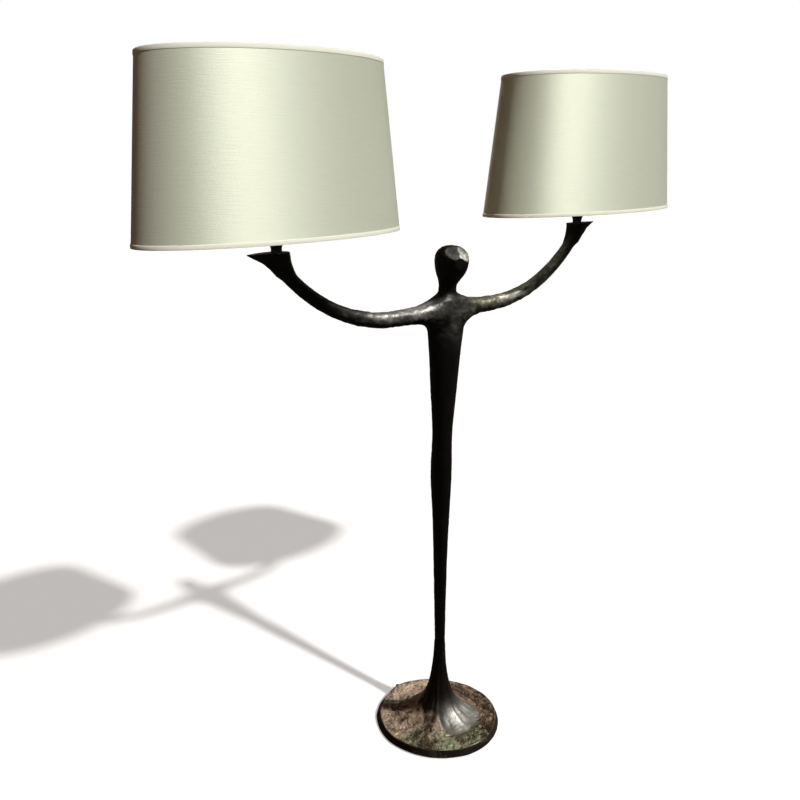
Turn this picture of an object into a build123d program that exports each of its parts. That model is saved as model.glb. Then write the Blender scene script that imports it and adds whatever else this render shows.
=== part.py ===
from build123d import *
import math
import os

# A bronze figure lamp, in millimetres: a round base, a slender figure with two raised palms, and on each
# palm a lampholder with an oval shade. +Z is up, the arms lie along X and the figure looks along -Y.
# Left and right are as seen from the front. The origin is the middle of the surface the lamp stands on.

# Fits and gaps
SCREW_FIT = 0.05  # radial gap between a screwed or pressed piece and its hole
RUNNING_FIT = 0.08  # radial gap round the sliding switch bar
MOVING_GAP = 0.2  # flat gap between pieces that move past each other
THREAD_PLAY = 0.35  # radial gap between the bulb's cap and the screw shell
GLUE_GAP = 0.05  # gap between pieces glued or laid against each other

# Base disc, its felt and the wiring chamber under it
FELT_THICKNESS = 1.5
FELT_MARGIN = 4.0  # felt edge inside the base's lower edge
BASE_RADIUS = 116.0  # at the lower edge
RIM_SLOPE = 8.0  # upper edge inside the lower edge
BASE_THICKNESS = 14.0
BASE_EDGE_ROUND = 2.5
BASE_HOLE_RADIUS = 30.0  # opening from the chamber into the hollow foot
RIM_WIDTH = 30.0  # rim between the chamber and the lower edge
CHAMBER_DEPTH = 9.0
BUSH_BORE_RADIUS = 3.1
BUSH_WALL = 0.8
BUSH_HEIGHT = 5.0  # bush axis above the base's underside
BUSH_SINK = 0.8  # bush end inside the rim's surface

# Foot of the figure
FOOT_RADIUS = 74.0
FOOT_SEAT = 1.0  # depth that the foot is let into the base
FLARE_HEIGHT = 150.0
FLARE_POWER = 4
FLARE_STEPS = 8
BELL_RADIUS = 29.0  # hollow under the foot
BELL_HEIGHT = 50.0
FOOT_SCREW_COUNT = 4
FOOT_SCREW_CIRCLE = 46.0  # radius of the circle that the foot screws stand on
FOOT_SCREW_RADIUS = 2.5
FOOT_SCREW_GRIP = 10.0  # depth that the screws reach into the foot
SCREW_HEAD_RADIUS = 4.5
SCREW_HEAD_HEIGHT = 2.8

LOFT_STEPS = 4  # bands between two sections of a cast form

# Lengths of the figure, one above the other
SHIN_LENGTH = 166.0
THIGH_LENGTH = 150.0
HIP_TO_WAIST = 70.0
WAIST_TO_CHEST = 140.0
CHEST_TO_ARM = 60.5
ARM_TO_NECK = 37.0
HEAD_HEIGHT = 61.0

# Sections of the figure: half width, half depth and set back
ANKLE = (8.9, 8.9, 0.0)
SHIN = (10.2, 10.4, 1.6)
KNEE = (11.8, 12.2, 3.0)
THIGH = (14.2, 14.4, 3.6)
HIP = (17.2, 17.8, 5.0)
WAIST = (17.6, 15.2, 4.0)
RIBS = (23.8, 17.4, 3.0)
CHEST = (30.0, 20.0, 1.8)
ARMPIT = (35.0, 21.0, 1.0)
SHOULDER_LOW = (46.0, 20.0, 0.4)
SHOULDER = (53.0, 19.0, 0.0)
SHOULDER_HIGH = (46.0, 18.0, 0.0)
SHOULDER_SLOPE = (31.0, 17.0, 0.0)
NECK_ROOT = (16.5, 15.0, -0.4)
NECK = (13.2, 13.8, -1.0)
ARMPIT_DROP = 30.0  # armpit section below the arm's axis
SHOULDER_HALF_HEIGHT = 11.0
SLOPE_RISE = 18.0  # shoulder slope section above the arm's axis
NECK_ROOT_RISE = 27.0
TORSO_WALL = 6.0
WIRE_BORE_RADIUS = 5.0
CAVITY_BELOW_HIP = 40.0  # where the torso's hollow narrows to the leg's bore
CAVITY_ABOVE_ARM = 8.0
CAVITY_START = (3.5, 3.5, 0.0)  # narrower than the leg's bore, which it opens out of
CAVITY_TOP = (20.0, 11.0, 0.0)

# Head: height share, half width, half depth and forward lean of each section
HEAD_SECTIONS = [
    (0.00, 13.2, 13.8, 1.0),
    (0.15, 16.4, 19.6, 4.0),
    (0.33, 20.4, 24.4, 6.6),
    (0.53, 22.6, 27.4, 8.0),
    (0.70, 22.8, 27.8, 8.4),
    (0.85, 20.2, 24.2, 8.0),
    (0.95, 13.6, 16.4, 7.0),
    (1.00, 3.0, 4.0, 6.2),
]
# Flat cuts across the head: outward normal, and distance from its middle
HEAD_FACETS = [
    ((0.50, -0.52, 0.69), 21.6),
    ((-0.36, -0.60, 0.71), 22.0),
    ((0.52, -0.82, -0.22), 22.8),
    ((-0.50, -0.84, -0.22), 23.0),
]
HEAD_MIDDLE = 0.60  # height share that the facets are measured from
HEAD_LEAN = 8.0
HEAD_SPIGOT_RADIUS = 5.0
HEAD_SPIGOT_LENGTH = 12.0

# Arms
SHOULDER_SPLIT = 44.0  # where the arm meets the torso
SPIGOT_RADIUS = 7.0
SPIGOT_LENGTH = 13.5
SPIGOT_END_GAP = 0.5
ARM_BORE_RADIUS = 4.0
ARM_REACH = 314.0  # lampholder axis from the middle
ARM_RISE = 113.0  # palm above the arm's axis at the shoulder
FOREARM_RUN = 97.5  # from the lampholder axis in to where straight upper arm and forearm would cross
ELBOW_TANGENT = 112.0  # length of the bend on each side of that crossing
WRIST_DROP = 15.5
WRIST_RADIUS = 14.0
ARM_RADIUS_SHOULDER = 13.4
ARM_RADIUS_UPPER = 12.2
ARM_RADIUS_BEND = (11.2, 10.3, 9.7, 9.6)  # at equal steps round the elbow's bend
PALM_INNER = 17.5  # palm edge from the lampholder axis, towards the body
PALM_TIP = 48.0  # finger tips from the lampholder axis
PALM_HALF_WIDTH = 17.5
PALM_TAPER = (0.85, 0.50)  # share of that width at one and two thirds of the way to the finger tips
HAND_DROP = 11.0  # section through the hollow of the hand, below the palm
HAND_HALF_LENGTH = 20.0
HAND_HALF_WIDTH = 14.0
HEEL_DROP = 21.0  # section through the heel of the hand
HEEL_SHIFT = 8.0
HEEL_TILT = 20.0  # degrees off level
HEEL_HALF_LENGTH = 12.0
HEEL_HALF_WIDTH = 10.8
GRUB_RADIUS = 2.5
GRUB_SINK = 0.8  # grub screw end below the bronze surface

# Leads and terminal block
LEAD_RADIUS = 1.8
LEAD_SPACING = 2.2  # each lead's distance from the middle of the leg
LEAD_HEIGHT = 4.5  # lead above the base's underside
FOOT_BEND = 18.0
SHOULDER_BEND = 12.0
BLOCK_LENGTH = 26.0
BLOCK_WIDTH = 18.0
BLOCK_HEIGHT = 8.0
BLOCK_PLACE = 52.0  # block's middle behind the lamp's middle
BLOCK_POLE_SPACING = 17.0
TERMINAL_SCREW_RADIUS = 1.9
TERMINAL_SCREW_LENGTH = 4.0
BLOCK_SCREW_RADIUS = 1.6
BLOCK_SCREW_GRIP = 3.0
EARTH_PLACE = 62.0
EARTH_TAG_RADIUS = 5.5
EARTH_TAG_THICKNESS = 0.8
EARTH_SCREW_RADIUS = 2.0
EARTH_SCREW_GRIP = 3.5

# Lampholder, measured up from the palm
NIPPLE_RADIUS = 5.0
NIPPLE_BORE_RADIUS = 3.5
NIPPLE_DEPTH = 9.0
NIPPLE_RISE = 11.0
CAP_FOOT_RADIUS = 7.6
CAP_WAIST_RADIUS = 7.3
CAP_WAIST_HEIGHT = 4.0
CAP_NECK_RADIUS = 9.4
CAP_NECK_HEIGHT = 11.0
CAP_FLOOR = 14.0
CAP_SHOULDER_HEIGHT = 23.0
CAP_HEIGHT = 35.0
HOLDER_RADIUS = 19.2
HOLDER_WALL = 2.5
INSERT_DROP = 4.0  # insert below the cap's upper edge
INSERT_RADIUS = 15.8
INSERT_HEIGHT = 15.0
INSERT_FLANGE_RADIUS = 17.9
INSERT_FLANGE_HEIGHT = 2.0
SHELL_HEIGHT = 31.0
FLANGE_RADIUS = 23.5
FLANGE_LIFT = 3.0
FLANGE_THICKNESS = 3.0
SHADE_RING_RADIUS = 24.5
SHADE_RING_HEIGHT = 7.0
THREAD_SHELL_WALL = 0.5
THREAD_SHELL_HEIGHT = 18.0
CONTACT_LENGTH = 11.0
CONTACT_WIDTH = 5.0
CONTACT_THICKNESS = 0.6
CONTACT_NOSE_RADIUS = 2.2
CONTACT_NOSE_HEIGHT = 1.6
SWITCH_OFFSET = 7.0  # bar axis outside the lampholder axis
SWITCH_BELOW_EDGE = 7.5  # bar axis below the cap's upper edge
SWITCH_RADIUS = 2.5
SWITCH_END_RADIUS = 3.4
SWITCH_END_LENGTH = 2.0
SWITCH_TRAVEL = 6.0
SWITCH_END_GAP = 0.5

# Bulb
BULB_CAP_RADIUS = 13.3
BULB_CAP_WALL = 0.7
BULB_CAP_HEIGHT = 27.0
BULB_TIP_RADIUS = 4.5
BULB_TIP_HEIGHT = 1.4
BULB_TAPER_HEIGHT = 4.5
BULB_RADIUS = 30.0
BULB_LENGTH = 109.4
GLASS_WALL = 0.9
GLASS_SINK = 5.6  # glass neck inside the cap
STEM_RADIUS = 4.0
STEM_HEIGHT = 30.0
STEM_FOOT_HEIGHT = 1.0
FILAMENT_COUNT = 4
FILAMENT_RADIUS = 0.9
FILAMENT_CIRCLE = 7.0
FILAMENT_HEIGHT = 24.0
FILAMENT_PLATE_HEIGHT = 1.0
FILAMENT_PLATE_RADIUS = 8.0

# Shades
SHADE_LIFT = 19.3  # lower edge above the palm
SHADE_HEIGHT = 211.0
SHADE_BOTTOM_LENGTH = 400.0
SHADE_BOTTOM_WIDTH = 215.0
SHADE_TOP_LENGTH = 349.0
SHADE_TOP_WIDTH = 179.0
SHADE_TURN = {"left": 4.5, "right": -1.6}  # degrees, as the shades stand at rest
PANEL_THICKNESS = 1.2
TRIM_WIDTH = 5.0
TRIM_THICKNESS = 0.7
WIRE_RADIUS = 1.8
WIRE_INSET = 1.2  # wire inside the panel's upper or lower edge
FITTER_RADIUS = 27.0
FITTER_THICKNESS = 2.0
FITTER_PLAY = 1.1  # radial gap round the lampholder's thread
SPOKE_RADIUS = 1.6
SPOKE_SINK = 1.5  # spoke end inside the fitter's rim

SIDES = {"left": -1, "right": 1}

# Radii and heights worked out from the sizes above
BASE_TOP_RADIUS = BASE_RADIUS - RIM_SLOPE
CHAMBER_RADIUS = BASE_RADIUS - RIM_WIDTH
BASE_TOP = FELT_THICKNESS + BASE_THICKNESS
CEILING = FELT_THICKNESS + CHAMBER_DEPTH
FOOT_Z = BASE_TOP - FOOT_SEAT
ANKLE_Z = FOOT_Z + FLARE_HEIGHT
KNEE_Z = ANKLE_Z + SHIN_LENGTH
HIP_Z = KNEE_Z + THIGH_LENGTH
WAIST_Z = HIP_Z + HIP_TO_WAIST
CHEST_Z = WAIST_Z + WAIST_TO_CHEST
ARM_Z = CHEST_Z + CHEST_TO_ARM
NECK_Z = ARM_Z + ARM_TO_NECK
PALM_Z = ARM_Z + ARM_RISE
WRIST_Z = PALM_Z - WRIST_DROP

# The elbow's bend, from the run of the forearm
ELBOW_REACH = ARM_REACH - FOREARM_RUN
ELBOW_TURN = math.atan2(WRIST_Z - ARM_Z, FOREARM_RUN)
ELBOW_RADIUS = ELBOW_TANGENT / math.tan(ELBOW_TURN / 2)
BEND_START = ELBOW_REACH - ELBOW_TANGENT

# Lampholder heights, from the palm
SHELL_FLOOR = CAP_HEIGHT
INSERT_FLOOR = CAP_HEIGHT - INSERT_DROP
INSERT_TOP = INSERT_FLOOR + INSERT_HEIGHT
HOLDER_BORE = HOLDER_RADIUS - HOLDER_WALL
FLANGE_TOP = SHELL_FLOOR + FLANGE_LIFT + FLANGE_THICKNESS
FITTER_FLOOR = FLANGE_TOP + MOVING_GAP
SHADE_RING_FLOOR = FITTER_FLOOR + FITTER_THICKNESS + MOVING_GAP
THREAD_SHELL_BORE = BULB_CAP_RADIUS + THREAD_PLAY
CONTACT_FLOOR = INSERT_TOP + MOVING_GAP
CONTACT_TOP = CONTACT_FLOOR + CONTACT_THICKNESS + CONTACT_NOSE_HEIGHT
BULB_TIP = CONTACT_TOP + MOVING_GAP
BULB_CAP_TOP = BULB_TIP + BULB_CAP_HEIGHT
BULB_MIDDLE = BULB_TIP + BULB_LENGTH - BULB_RADIUS
GLASS_FLOOR = BULB_CAP_TOP - GLASS_SINK
GLASS_NECK_RADIUS = BULB_CAP_RADIUS - BULB_CAP_WALL - MOVING_GAP
SWITCH_HEIGHT = CAP_HEIGHT - SWITCH_BELOW_EDGE

STANDING = (Align.CENTER, Align.CENTER, Align.MIN)


def rod(radius, floor, height):
    """Upright cylinder on the Z axis."""
    return Pos(0, 0, floor) * Cylinder(radius, height, align=STANDING)


def tube(bore, radius, floor, height):
    """Upright ring on the Z axis."""
    return rod(radius, floor, height) - rod(bore, floor, height)


def rod_between(start, end, radius):
    """Straight round rod from one point to another."""
    run = Vector(*end) - Vector(*start)
    return Plane(origin=start, z_dir=run) * Cylinder(radius, run.length, align=STANDING)


def turned(*edges):
    """Solid turned about Z from a closed profile in the XZ plane."""
    return revolve(make_face(edges), Axis.Z)


def profile(*points):
    """Straight-sided profile from (radius, height) pairs, turned about Z."""
    return turned(Polyline([(r, 0, z) for r, z in points], close=True))


def oval(height, section):
    """Level oval face from a (half width, half depth, set back) section."""
    half_width, half_depth, set_back = section
    return Pos(0, set_back, height) * Ellipse(half_width, half_depth)


def eased(rows, steps):
    """Rows with cubic steps between them, the slope at each row being that of its two neighbours."""
    last = len(rows) - 1
    result = []
    for i in range(last):
        before, start, end, after = rows[max(i - 1, 0)], rows[i], rows[i + 1], rows[min(i + 2, last)]
        span = end[0] - start[0]
        for step in range(steps):
            t = step / steps
            row = [start[0] + t * span]
            for v in range(1, len(start)):
                leave = span * (end[v] - before[v]) / (end[0] - before[0])
                arrive = span * (after[v] - start[v]) / (after[0] - start[0])
                rise = end[v] - start[v]
                bend = t * (1 - t) * ((1 - t) * (leave - rise) + t * (rise - arrive))
                row.append(start[v] + t * rise + bend)
            result.append(tuple(row))
    return result + [rows[-1]]


def lofted(levels):
    """Form through level ovals, from (height, section) pairs, eased between them."""
    rows = eased([(height, *section) for height, section in levels], LOFT_STEPS)
    return loft([oval(row[0], row[1:]) for row in rows], ruled=True)


def thinned(section, wall):
    """The same section, smaller by a wall all round."""
    return (section[0] - wall, section[1] - wall, section[2])


def screw(radius, grip, place, under):
    """Round-headed screw pointing up, its head against a face at the height under."""
    head = rod(SCREW_HEAD_RADIUS, under - SCREW_HEAD_HEIGHT, SCREW_HEAD_HEIGHT)
    head = fillet(head.edges().group_by(Axis.Z)[0], SCREW_HEAD_HEIGHT / 2)
    slot = Pos(0, 0, under - SCREW_HEAD_HEIGHT) * Box(2 * SCREW_HEAD_RADIUS, radius / 2, radius)
    return Pos(*place) * (head - slot + rod(radius, under, grip))


def foot_screw_places():
    """The points round the foot where its screws stand."""
    return [loc.position for loc in PolarLocations(FOOT_SCREW_CIRCLE, FOOT_SCREW_COUNT, start_angle=45)]


def rim_radius(height):
    """Radius of the base's sloping rim at a height above its underside."""
    return BASE_RADIUS + (BASE_TOP_RADIUS - BASE_RADIUS) * height / BASE_THICKNESS


def bush_end():
    """How far back the inlet bush reaches."""
    return rim_radius(BUSH_HEIGHT) - BUSH_SINK


def inlet_rod(radius, start, end):
    """Rod along the inlet's axis, out through the back of the base."""
    height = FELT_THICKNESS + BUSH_HEIGHT
    return rod_between((0, start, height), (0, end, height), radius)


def make_base():
    """Base disc with its foot seat, wiring chamber, screw holes and inlet hole."""
    disc = profile(
        (BASE_HOLE_RADIUS, CEILING),
        (CHAMBER_RADIUS, CEILING),
        (CHAMBER_RADIUS, FELT_THICKNESS),
        (BASE_RADIUS, FELT_THICKNESS),
        (BASE_TOP_RADIUS, BASE_TOP),
        (FOOT_RADIUS + SCREW_FIT, BASE_TOP),
        (FOOT_RADIUS + SCREW_FIT, FOOT_Z),
        (BASE_HOLE_RADIUS, FOOT_Z),
    )
    rim = disc.edges().filter_by(GeomType.CIRCLE).filter_by(lambda e: e.radius >= BASE_TOP_RADIUS)
    disc = fillet(rim, BASE_EDGE_ROUND)
    for place in foot_screw_places():
        disc -= Pos(place.X, place.Y, 0) * rod(FOOT_SCREW_RADIUS + SCREW_FIT, CEILING, BASE_THICKNESS)
    disc -= inlet_rod(BUSH_BORE_RADIUS + BUSH_WALL + SCREW_FIT, CHAMBER_RADIUS - BUSH_WALL, BASE_RADIUS)
    disc -= Pos(0, BLOCK_PLACE, 0) * rod(BLOCK_SCREW_RADIUS + SCREW_FIT, CEILING, BLOCK_SCREW_GRIP)
    disc -= Pos(-EARTH_PLACE, 0, 0) * rod(EARTH_SCREW_RADIUS + SCREW_FIT, CEILING, EARTH_SCREW_GRIP)
    return disc


def make_bush():
    """Plain bush in the inlet hole."""
    outside = inlet_rod(BUSH_BORE_RADIUS + BUSH_WALL, CHAMBER_RADIUS, bush_end())
    return outside - inlet_rod(BUSH_BORE_RADIUS, CHAMBER_RADIUS, bush_end())


def flare_radius(share):
    """Foot radius at a share of the flare's height: steep near the floor, upright at the ankle."""
    return ANKLE[0] + (FOOT_RADIUS - ANKLE[0]) * (1 - share) ** FLARE_POWER


def make_foot():
    """Flared foot, turned about Z."""
    shares = [step / FLARE_STEPS for step in range(FLARE_STEPS + 1)]
    first = FOOT_Z + FOOT_SEAT
    flare = Spline([(flare_radius(s), 0, first + s * (ANKLE_Z - first)) for s in shares])
    under = Polyline((0, 0, ANKLE_Z), (0, 0, FOOT_Z), (FOOT_RADIUS, 0, FOOT_Z), flare @ 0)
    return turned(flare, under, Line(flare @ 1, (0, 0, ANKLE_Z)))


def make_column():
    """Leg column and torso, lofted, with the shoulders and neck on top, cut flat where the arms meet them."""
    torso = [
        (ANKLE_Z, ANKLE),
        ((ANKLE_Z + KNEE_Z) / 2, SHIN),
        (KNEE_Z, KNEE),
        ((KNEE_Z + HIP_Z) / 2, THIGH),
        (HIP_Z, HIP),
        (WAIST_Z, WAIST),
        ((WAIST_Z + CHEST_Z) / 2, RIBS),
        (CHEST_Z, CHEST),
        (ARM_Z - ARMPIT_DROP, ARMPIT),
    ]
    shoulders = [
        torso[-1],
        (ARM_Z - SHOULDER_HALF_HEIGHT, SHOULDER_LOW),
        (ARM_Z, SHOULDER),
        (ARM_Z + SHOULDER_HALF_HEIGHT, SHOULDER_HIGH),
        (ARM_Z + SLOPE_RISE, SHOULDER_SLOPE),
        (ARM_Z + NECK_ROOT_RISE, NECK_ROOT),
        (NECK_Z, NECK),
    ]
    yoke = lofted(shoulders)
    for side in SIDES.values():
        yoke = split(yoke, Plane((side * SHOULDER_SPLIT, 0, 0), z_dir=(-side, 0, 0)), Keep.TOP)
    return lofted(torso) + yoke


def make_leg_core():
    """Bell under the foot and the bore up the leg."""
    bell_top = FOOT_Z + BELL_HEIGHT
    return profile(
        (0, FELT_THICKNESS),
        (BELL_RADIUS, FELT_THICKNESS),
        (BELL_RADIUS, FOOT_Z),
        (WIRE_BORE_RADIUS, bell_top),
        (WIRE_BORE_RADIUS, HIP_Z),
        (0, HIP_Z),
    )


def make_torso_hollow():
    """Cored hollow of the torso, where the two leads part."""
    levels = [
        (HIP_Z - CAVITY_BELOW_HIP, CAVITY_START),
        (HIP_Z, thinned(HIP, TORSO_WALL)),
        (WAIST_Z, thinned(WAIST, TORSO_WALL)),
        ((WAIST_Z + CHEST_Z) / 2, thinned(RIBS, TORSO_WALL)),
        (CHEST_Z, thinned(CHEST, TORSO_WALL)),
        (ARM_Z + CAVITY_ABOVE_ARM, CAVITY_TOP),
    ]
    return lofted(levels)


def grub_back():
    """Torso depth behind the middle of an arm's spigot, from the shoulder's oval."""
    share = (SHOULDER_SPLIT - SPIGOT_LENGTH / 2) / SHOULDER[0]
    return SHOULDER[1] * math.sqrt(1 - share**2)


def shoulder_screw(side):
    """Grub screw from the back, against the arm's spigot."""
    x = side * (SHOULDER_SPLIT - SPIGOT_LENGTH / 2)
    return rod_between((x, SPIGOT_RADIUS + GLUE_GAP, ARM_Z), (x, grub_back() - GRUB_SINK, ARM_Z), GRUB_RADIUS)


def head_screw():
    """Grub screw from the back of the neck, against the head's spigot."""
    z = NECK_Z - HEAD_SPIGOT_LENGTH / 2
    end = NECK[1] + NECK[2] - GRUB_SINK
    return rod_between((0, HEAD_SPIGOT_RADIUS + GLUE_GAP, z), (0, end, z), GRUB_RADIUS)


def make_figure():
    """Figure casting: foot, leg column, torso and neck, with its wire passages and sockets."""
    figure = make_foot() + make_column()
    figure -= make_leg_core()
    figure -= make_torso_hollow()
    figure -= rod(HEAD_SPIGOT_RADIUS + SCREW_FIT, NECK_Z - HEAD_SPIGOT_LENGTH - SPIGOT_END_GAP, ARM_TO_NECK)
    neck_z = NECK_Z - HEAD_SPIGOT_LENGTH / 2
    figure -= rod_between((0, 0, neck_z), (0, 2 * NECK[1], neck_z), GRUB_RADIUS + SCREW_FIT)
    for place in foot_screw_places():
        figure -= Pos(place.X, place.Y, 0) * rod(FOOT_SCREW_RADIUS + SCREW_FIT, FOOT_Z, FOOT_SCREW_GRIP)
    socket_end = SHOULDER_SPLIT - SPIGOT_LENGTH - SPIGOT_END_GAP
    for side in SIDES.values():
        beyond = side * 2 * SHOULDER[0]
        figure -= rod_between((side * socket_end, 0, ARM_Z), (beyond, 0, ARM_Z), SPIGOT_RADIUS + SCREW_FIT)
        figure -= rod_between((0, 0, ARM_Z), (beyond, 0, ARM_Z), ARM_BORE_RADIUS)
        x = side * (SHOULDER_SPLIT - SPIGOT_LENGTH / 2)
        figure -= rod_between((x, 0, ARM_Z), (x, 2 * SHOULDER[1], ARM_Z), GRUB_RADIUS + SCREW_FIT)
    return figure


def make_head():
    """Faceted head with no features, on a spigot that plugs the neck."""
    head = lofted([
        (NECK_Z + share * HEAD_HEIGHT, (half_width, half_depth, -lean))
        for share, half_width, half_depth, lean in HEAD_SECTIONS
    ])
    middle = Vector(0, -HEAD_LEAN, NECK_Z + HEAD_MIDDLE * HEAD_HEIGHT)
    for normal, distance in HEAD_FACETS:
        outward = Vector(*normal).normalized()
        head = split(head, Plane(middle + outward * distance, z_dir=-outward), Keep.TOP)
    return head + rod(HEAD_SPIGOT_RADIUS, NECK_Z - HEAD_SPIGOT_LENGTH, HEAD_SPIGOT_LENGTH)


def arm_path(start, top):
    """Middle line of the right arm: level, round the elbow, and upright under the palm."""
    points = [(start, 0, ARM_Z), (ELBOW_REACH, 0, ARM_Z), (ARM_REACH, 0, WRIST_Z), (ARM_REACH, 0, top)]
    return FilletPolyline(*points, radius=[ELBOW_RADIUS, WRIST_RADIUS])


def arm_section(x, z, tilt, half_width, half_height):
    """Oval face across the arm, its normal tilted up from +X by an angle in radians."""
    normal = (math.cos(tilt), 0, math.sin(tilt))
    return Plane((x, 0, z), x_dir=(0, 1, 0), z_dir=normal) * Ellipse(half_width, half_height)


def palm_face():
    """Level drop-shaped face of the open palm: round at the lampholder, pointed at the finger tips."""
    plane = Plane((ARM_REACH, 0, PALM_Z), x_dir=(0, 1, 0), z_dir=(0, 0, 1))
    slant = math.sqrt(0.5)
    outline = [
        (0, PALM_INNER),
        (-PALM_HALF_WIDTH * slant, PALM_INNER * slant),
        (-PALM_HALF_WIDTH, 0),
        (-PALM_HALF_WIDTH * PALM_TAPER[0], -PALM_TIP / 3),
        (-PALM_HALF_WIDTH * PALM_TAPER[1], -PALM_TIP * 2 / 3),
        (0, -PALM_TIP),
    ]
    outline += [(-across, along) for across, along in outline[-2:0:-1]]
    return plane * make_face(Spline(outline, periodic=True))


def limb_section(length, radius):
    """Round face across the arm, at a length along its middle line from the body's middle."""
    tilt = max(length - BEND_START, 0) / ELBOW_RADIUS
    x = min(length, BEND_START) + ELBOW_RADIUS * math.sin(tilt)
    z = ARM_Z + ELBOW_RADIUS * (1 - math.cos(tilt))
    return arm_section(x, z, tilt, radius, radius)


def make_right_arm():
    """Right arm with its spigot, wire bore, palm and the nipple's threaded hole."""
    rows = [(SHOULDER_SPLIT, ARM_RADIUS_SHOULDER), (BEND_START, ARM_RADIUS_UPPER)]
    for step, radius in enumerate(ARM_RADIUS_BEND, 1):
        bend = ELBOW_RADIUS * ELBOW_TURN * step / len(ARM_RADIUS_BEND)
        rows.append((BEND_START + bend, radius))
    limb = [limb_section(*row) for row in eased(rows, LOFT_STEPS)]
    heel_tilt = math.radians(90 - HEEL_TILT)
    upright = math.pi / 2
    hand = [
        limb[-1],
        arm_section(ARM_REACH - HEEL_SHIFT, PALM_Z - HEEL_DROP, heel_tilt, HEEL_HALF_WIDTH, HEEL_HALF_LENGTH),
        arm_section(ARM_REACH, PALM_Z - HAND_DROP, upright, HAND_HALF_WIDTH, HAND_HALF_LENGTH),
        palm_face(),
    ]
    arm = loft(limb, ruled=True) + loft(hand)
    end = (SHOULDER_SPLIT - SPIGOT_LENGTH, 0, ARM_Z)
    arm += rod_between(end, (SHOULDER_SPLIT, 0, ARM_Z), SPIGOT_RADIUS)
    path = arm_path(end[0] - 1, PALM_Z)
    arm -= sweep(Plane(path @ 0, z_dir=path % 0) * Circle(ARM_BORE_RADIUS), path)
    return arm - Pos(ARM_REACH, 0, 0) * rod(NIPPLE_RADIUS + SCREW_FIT, PALM_Z - NIPPLE_DEPTH, 2 * NIPPLE_DEPTH)


def make_right_lead():
    """Internal lead of the right lampholder, held from the terminal block to the porcelain insert."""
    low = FELT_THICKNESS + LEAD_HEIGHT
    path = FilletPolyline(
        (LEAD_SPACING, BLOCK_PLACE - BLOCK_WIDTH / 2, low),
        (LEAD_SPACING, 0, low),
        (LEAD_SPACING, 0, ARM_Z),
        (ELBOW_REACH, 0, ARM_Z),
        (ARM_REACH, 0, WRIST_Z),
        (ARM_REACH, 0, PALM_Z + INSERT_FLOOR),
        radius=[FOOT_BEND, SHOULDER_BEND, ELBOW_RADIUS, WRIST_RADIUS],
    )
    return sweep(Plane(path @ 0, z_dir=path % 0) * Circle(LEAD_RADIUS), path)


def make_terminals():
    """Terminal block under the base, with its pole screws and its fixing screw."""
    block = Pos(0, BLOCK_PLACE, CEILING - BLOCK_HEIGHT / 2) * Box(BLOCK_LENGTH, BLOCK_WIDTH, BLOCK_HEIGHT)
    floor = CEILING - BLOCK_HEIGHT
    poles = [
        Pos(x, BLOCK_PLACE + y, 0) * rod(TERMINAL_SCREW_RADIUS, floor, TERMINAL_SCREW_LENGTH)
        for x in (-BLOCK_POLE_SPACING / 2, BLOCK_POLE_SPACING / 2)
        for y in (-BLOCK_WIDTH / 4, BLOCK_WIDTH / 4)
    ]
    for pole in poles:
        block -= pole
    fixing = Pos(0, BLOCK_PLACE, 0) * rod(BLOCK_SCREW_RADIUS, floor, BLOCK_HEIGHT + BLOCK_SCREW_GRIP)
    return block - fixing, Compound(children=poles), fixing


def make_earth():
    """Earth tag and the screw that holds it against the chamber's ceiling."""
    place = (-EARTH_PLACE, 0, 0)
    floor = CEILING - EARTH_TAG_THICKNESS
    tag = tube(EARTH_SCREW_RADIUS + SCREW_FIT, EARTH_TAG_RADIUS, floor, EARTH_TAG_THICKNESS)
    return Pos(*place) * tag, screw(EARTH_SCREW_RADIUS, EARTH_TAG_THICKNESS + EARTH_SCREW_GRIP, place, floor)


def make_nipple():
    """Hollow threaded nipple from the palm into the lampholder."""
    return tube(NIPPLE_BORE_RADIUS, NIPPLE_RADIUS, -NIPPLE_DEPTH, NIPPLE_DEPTH + NIPPLE_RISE)


def switch_rod(radius, start, end, side):
    """Rod along the switch bar's axis."""
    x = side * SWITCH_OFFSET
    return rod_between((x, start, SWITCH_HEIGHT), (x, end, SWITCH_HEIGHT), radius)


def make_cap(side):
    """Lampholder cap: a waisted neck that widens to a drum, with the switch bar's holes."""
    neck = Spline(
        (CAP_FOOT_RADIUS, 0, 0),
        (CAP_WAIST_RADIUS, 0, CAP_WAIST_HEIGHT),
        (CAP_NECK_RADIUS, 0, CAP_NECK_HEIGHT),
        (HOLDER_RADIUS, 0, CAP_SHOULDER_HEIGHT),
    )
    bore = NIPPLE_RADIUS + SCREW_FIT
    rest = Polyline(
        neck @ 1,
        (HOLDER_RADIUS, 0, CAP_HEIGHT),
        (HOLDER_BORE, 0, CAP_HEIGHT),
        (HOLDER_BORE, 0, CAP_SHOULDER_HEIGHT),
        (bore, 0, CAP_FLOOR),
        (bore, 0, 0),
        neck @ 0,
    )
    return turned(neck, rest) - switch_rod(SWITCH_RADIUS + RUNNING_FIT, -HOLDER_RADIUS, HOLDER_RADIUS, side)


def make_switch(side):
    """Push bar with a button at each end, out at the front."""
    wall = math.sqrt(HOLDER_RADIUS**2 - (SWITCH_OFFSET - SWITCH_END_RADIUS) ** 2) + SWITCH_END_GAP
    front = -wall - SWITCH_TRAVEL
    bar = switch_rod(SWITCH_RADIUS, front, wall, side)
    bar += switch_rod(SWITCH_END_RADIUS, front - SWITCH_END_LENGTH, front, side)
    return bar + switch_rod(SWITCH_END_RADIUS, wall, wall + SWITCH_END_LENGTH, side)


def make_insert():
    """Porcelain insert, clamped by its flange between cap and shell."""
    body = rod(INSERT_RADIUS, INSERT_FLOOR, INSERT_HEIGHT)
    return body + rod(INSERT_FLANGE_RADIUS, CAP_HEIGHT, INSERT_FLANGE_HEIGHT)


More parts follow.
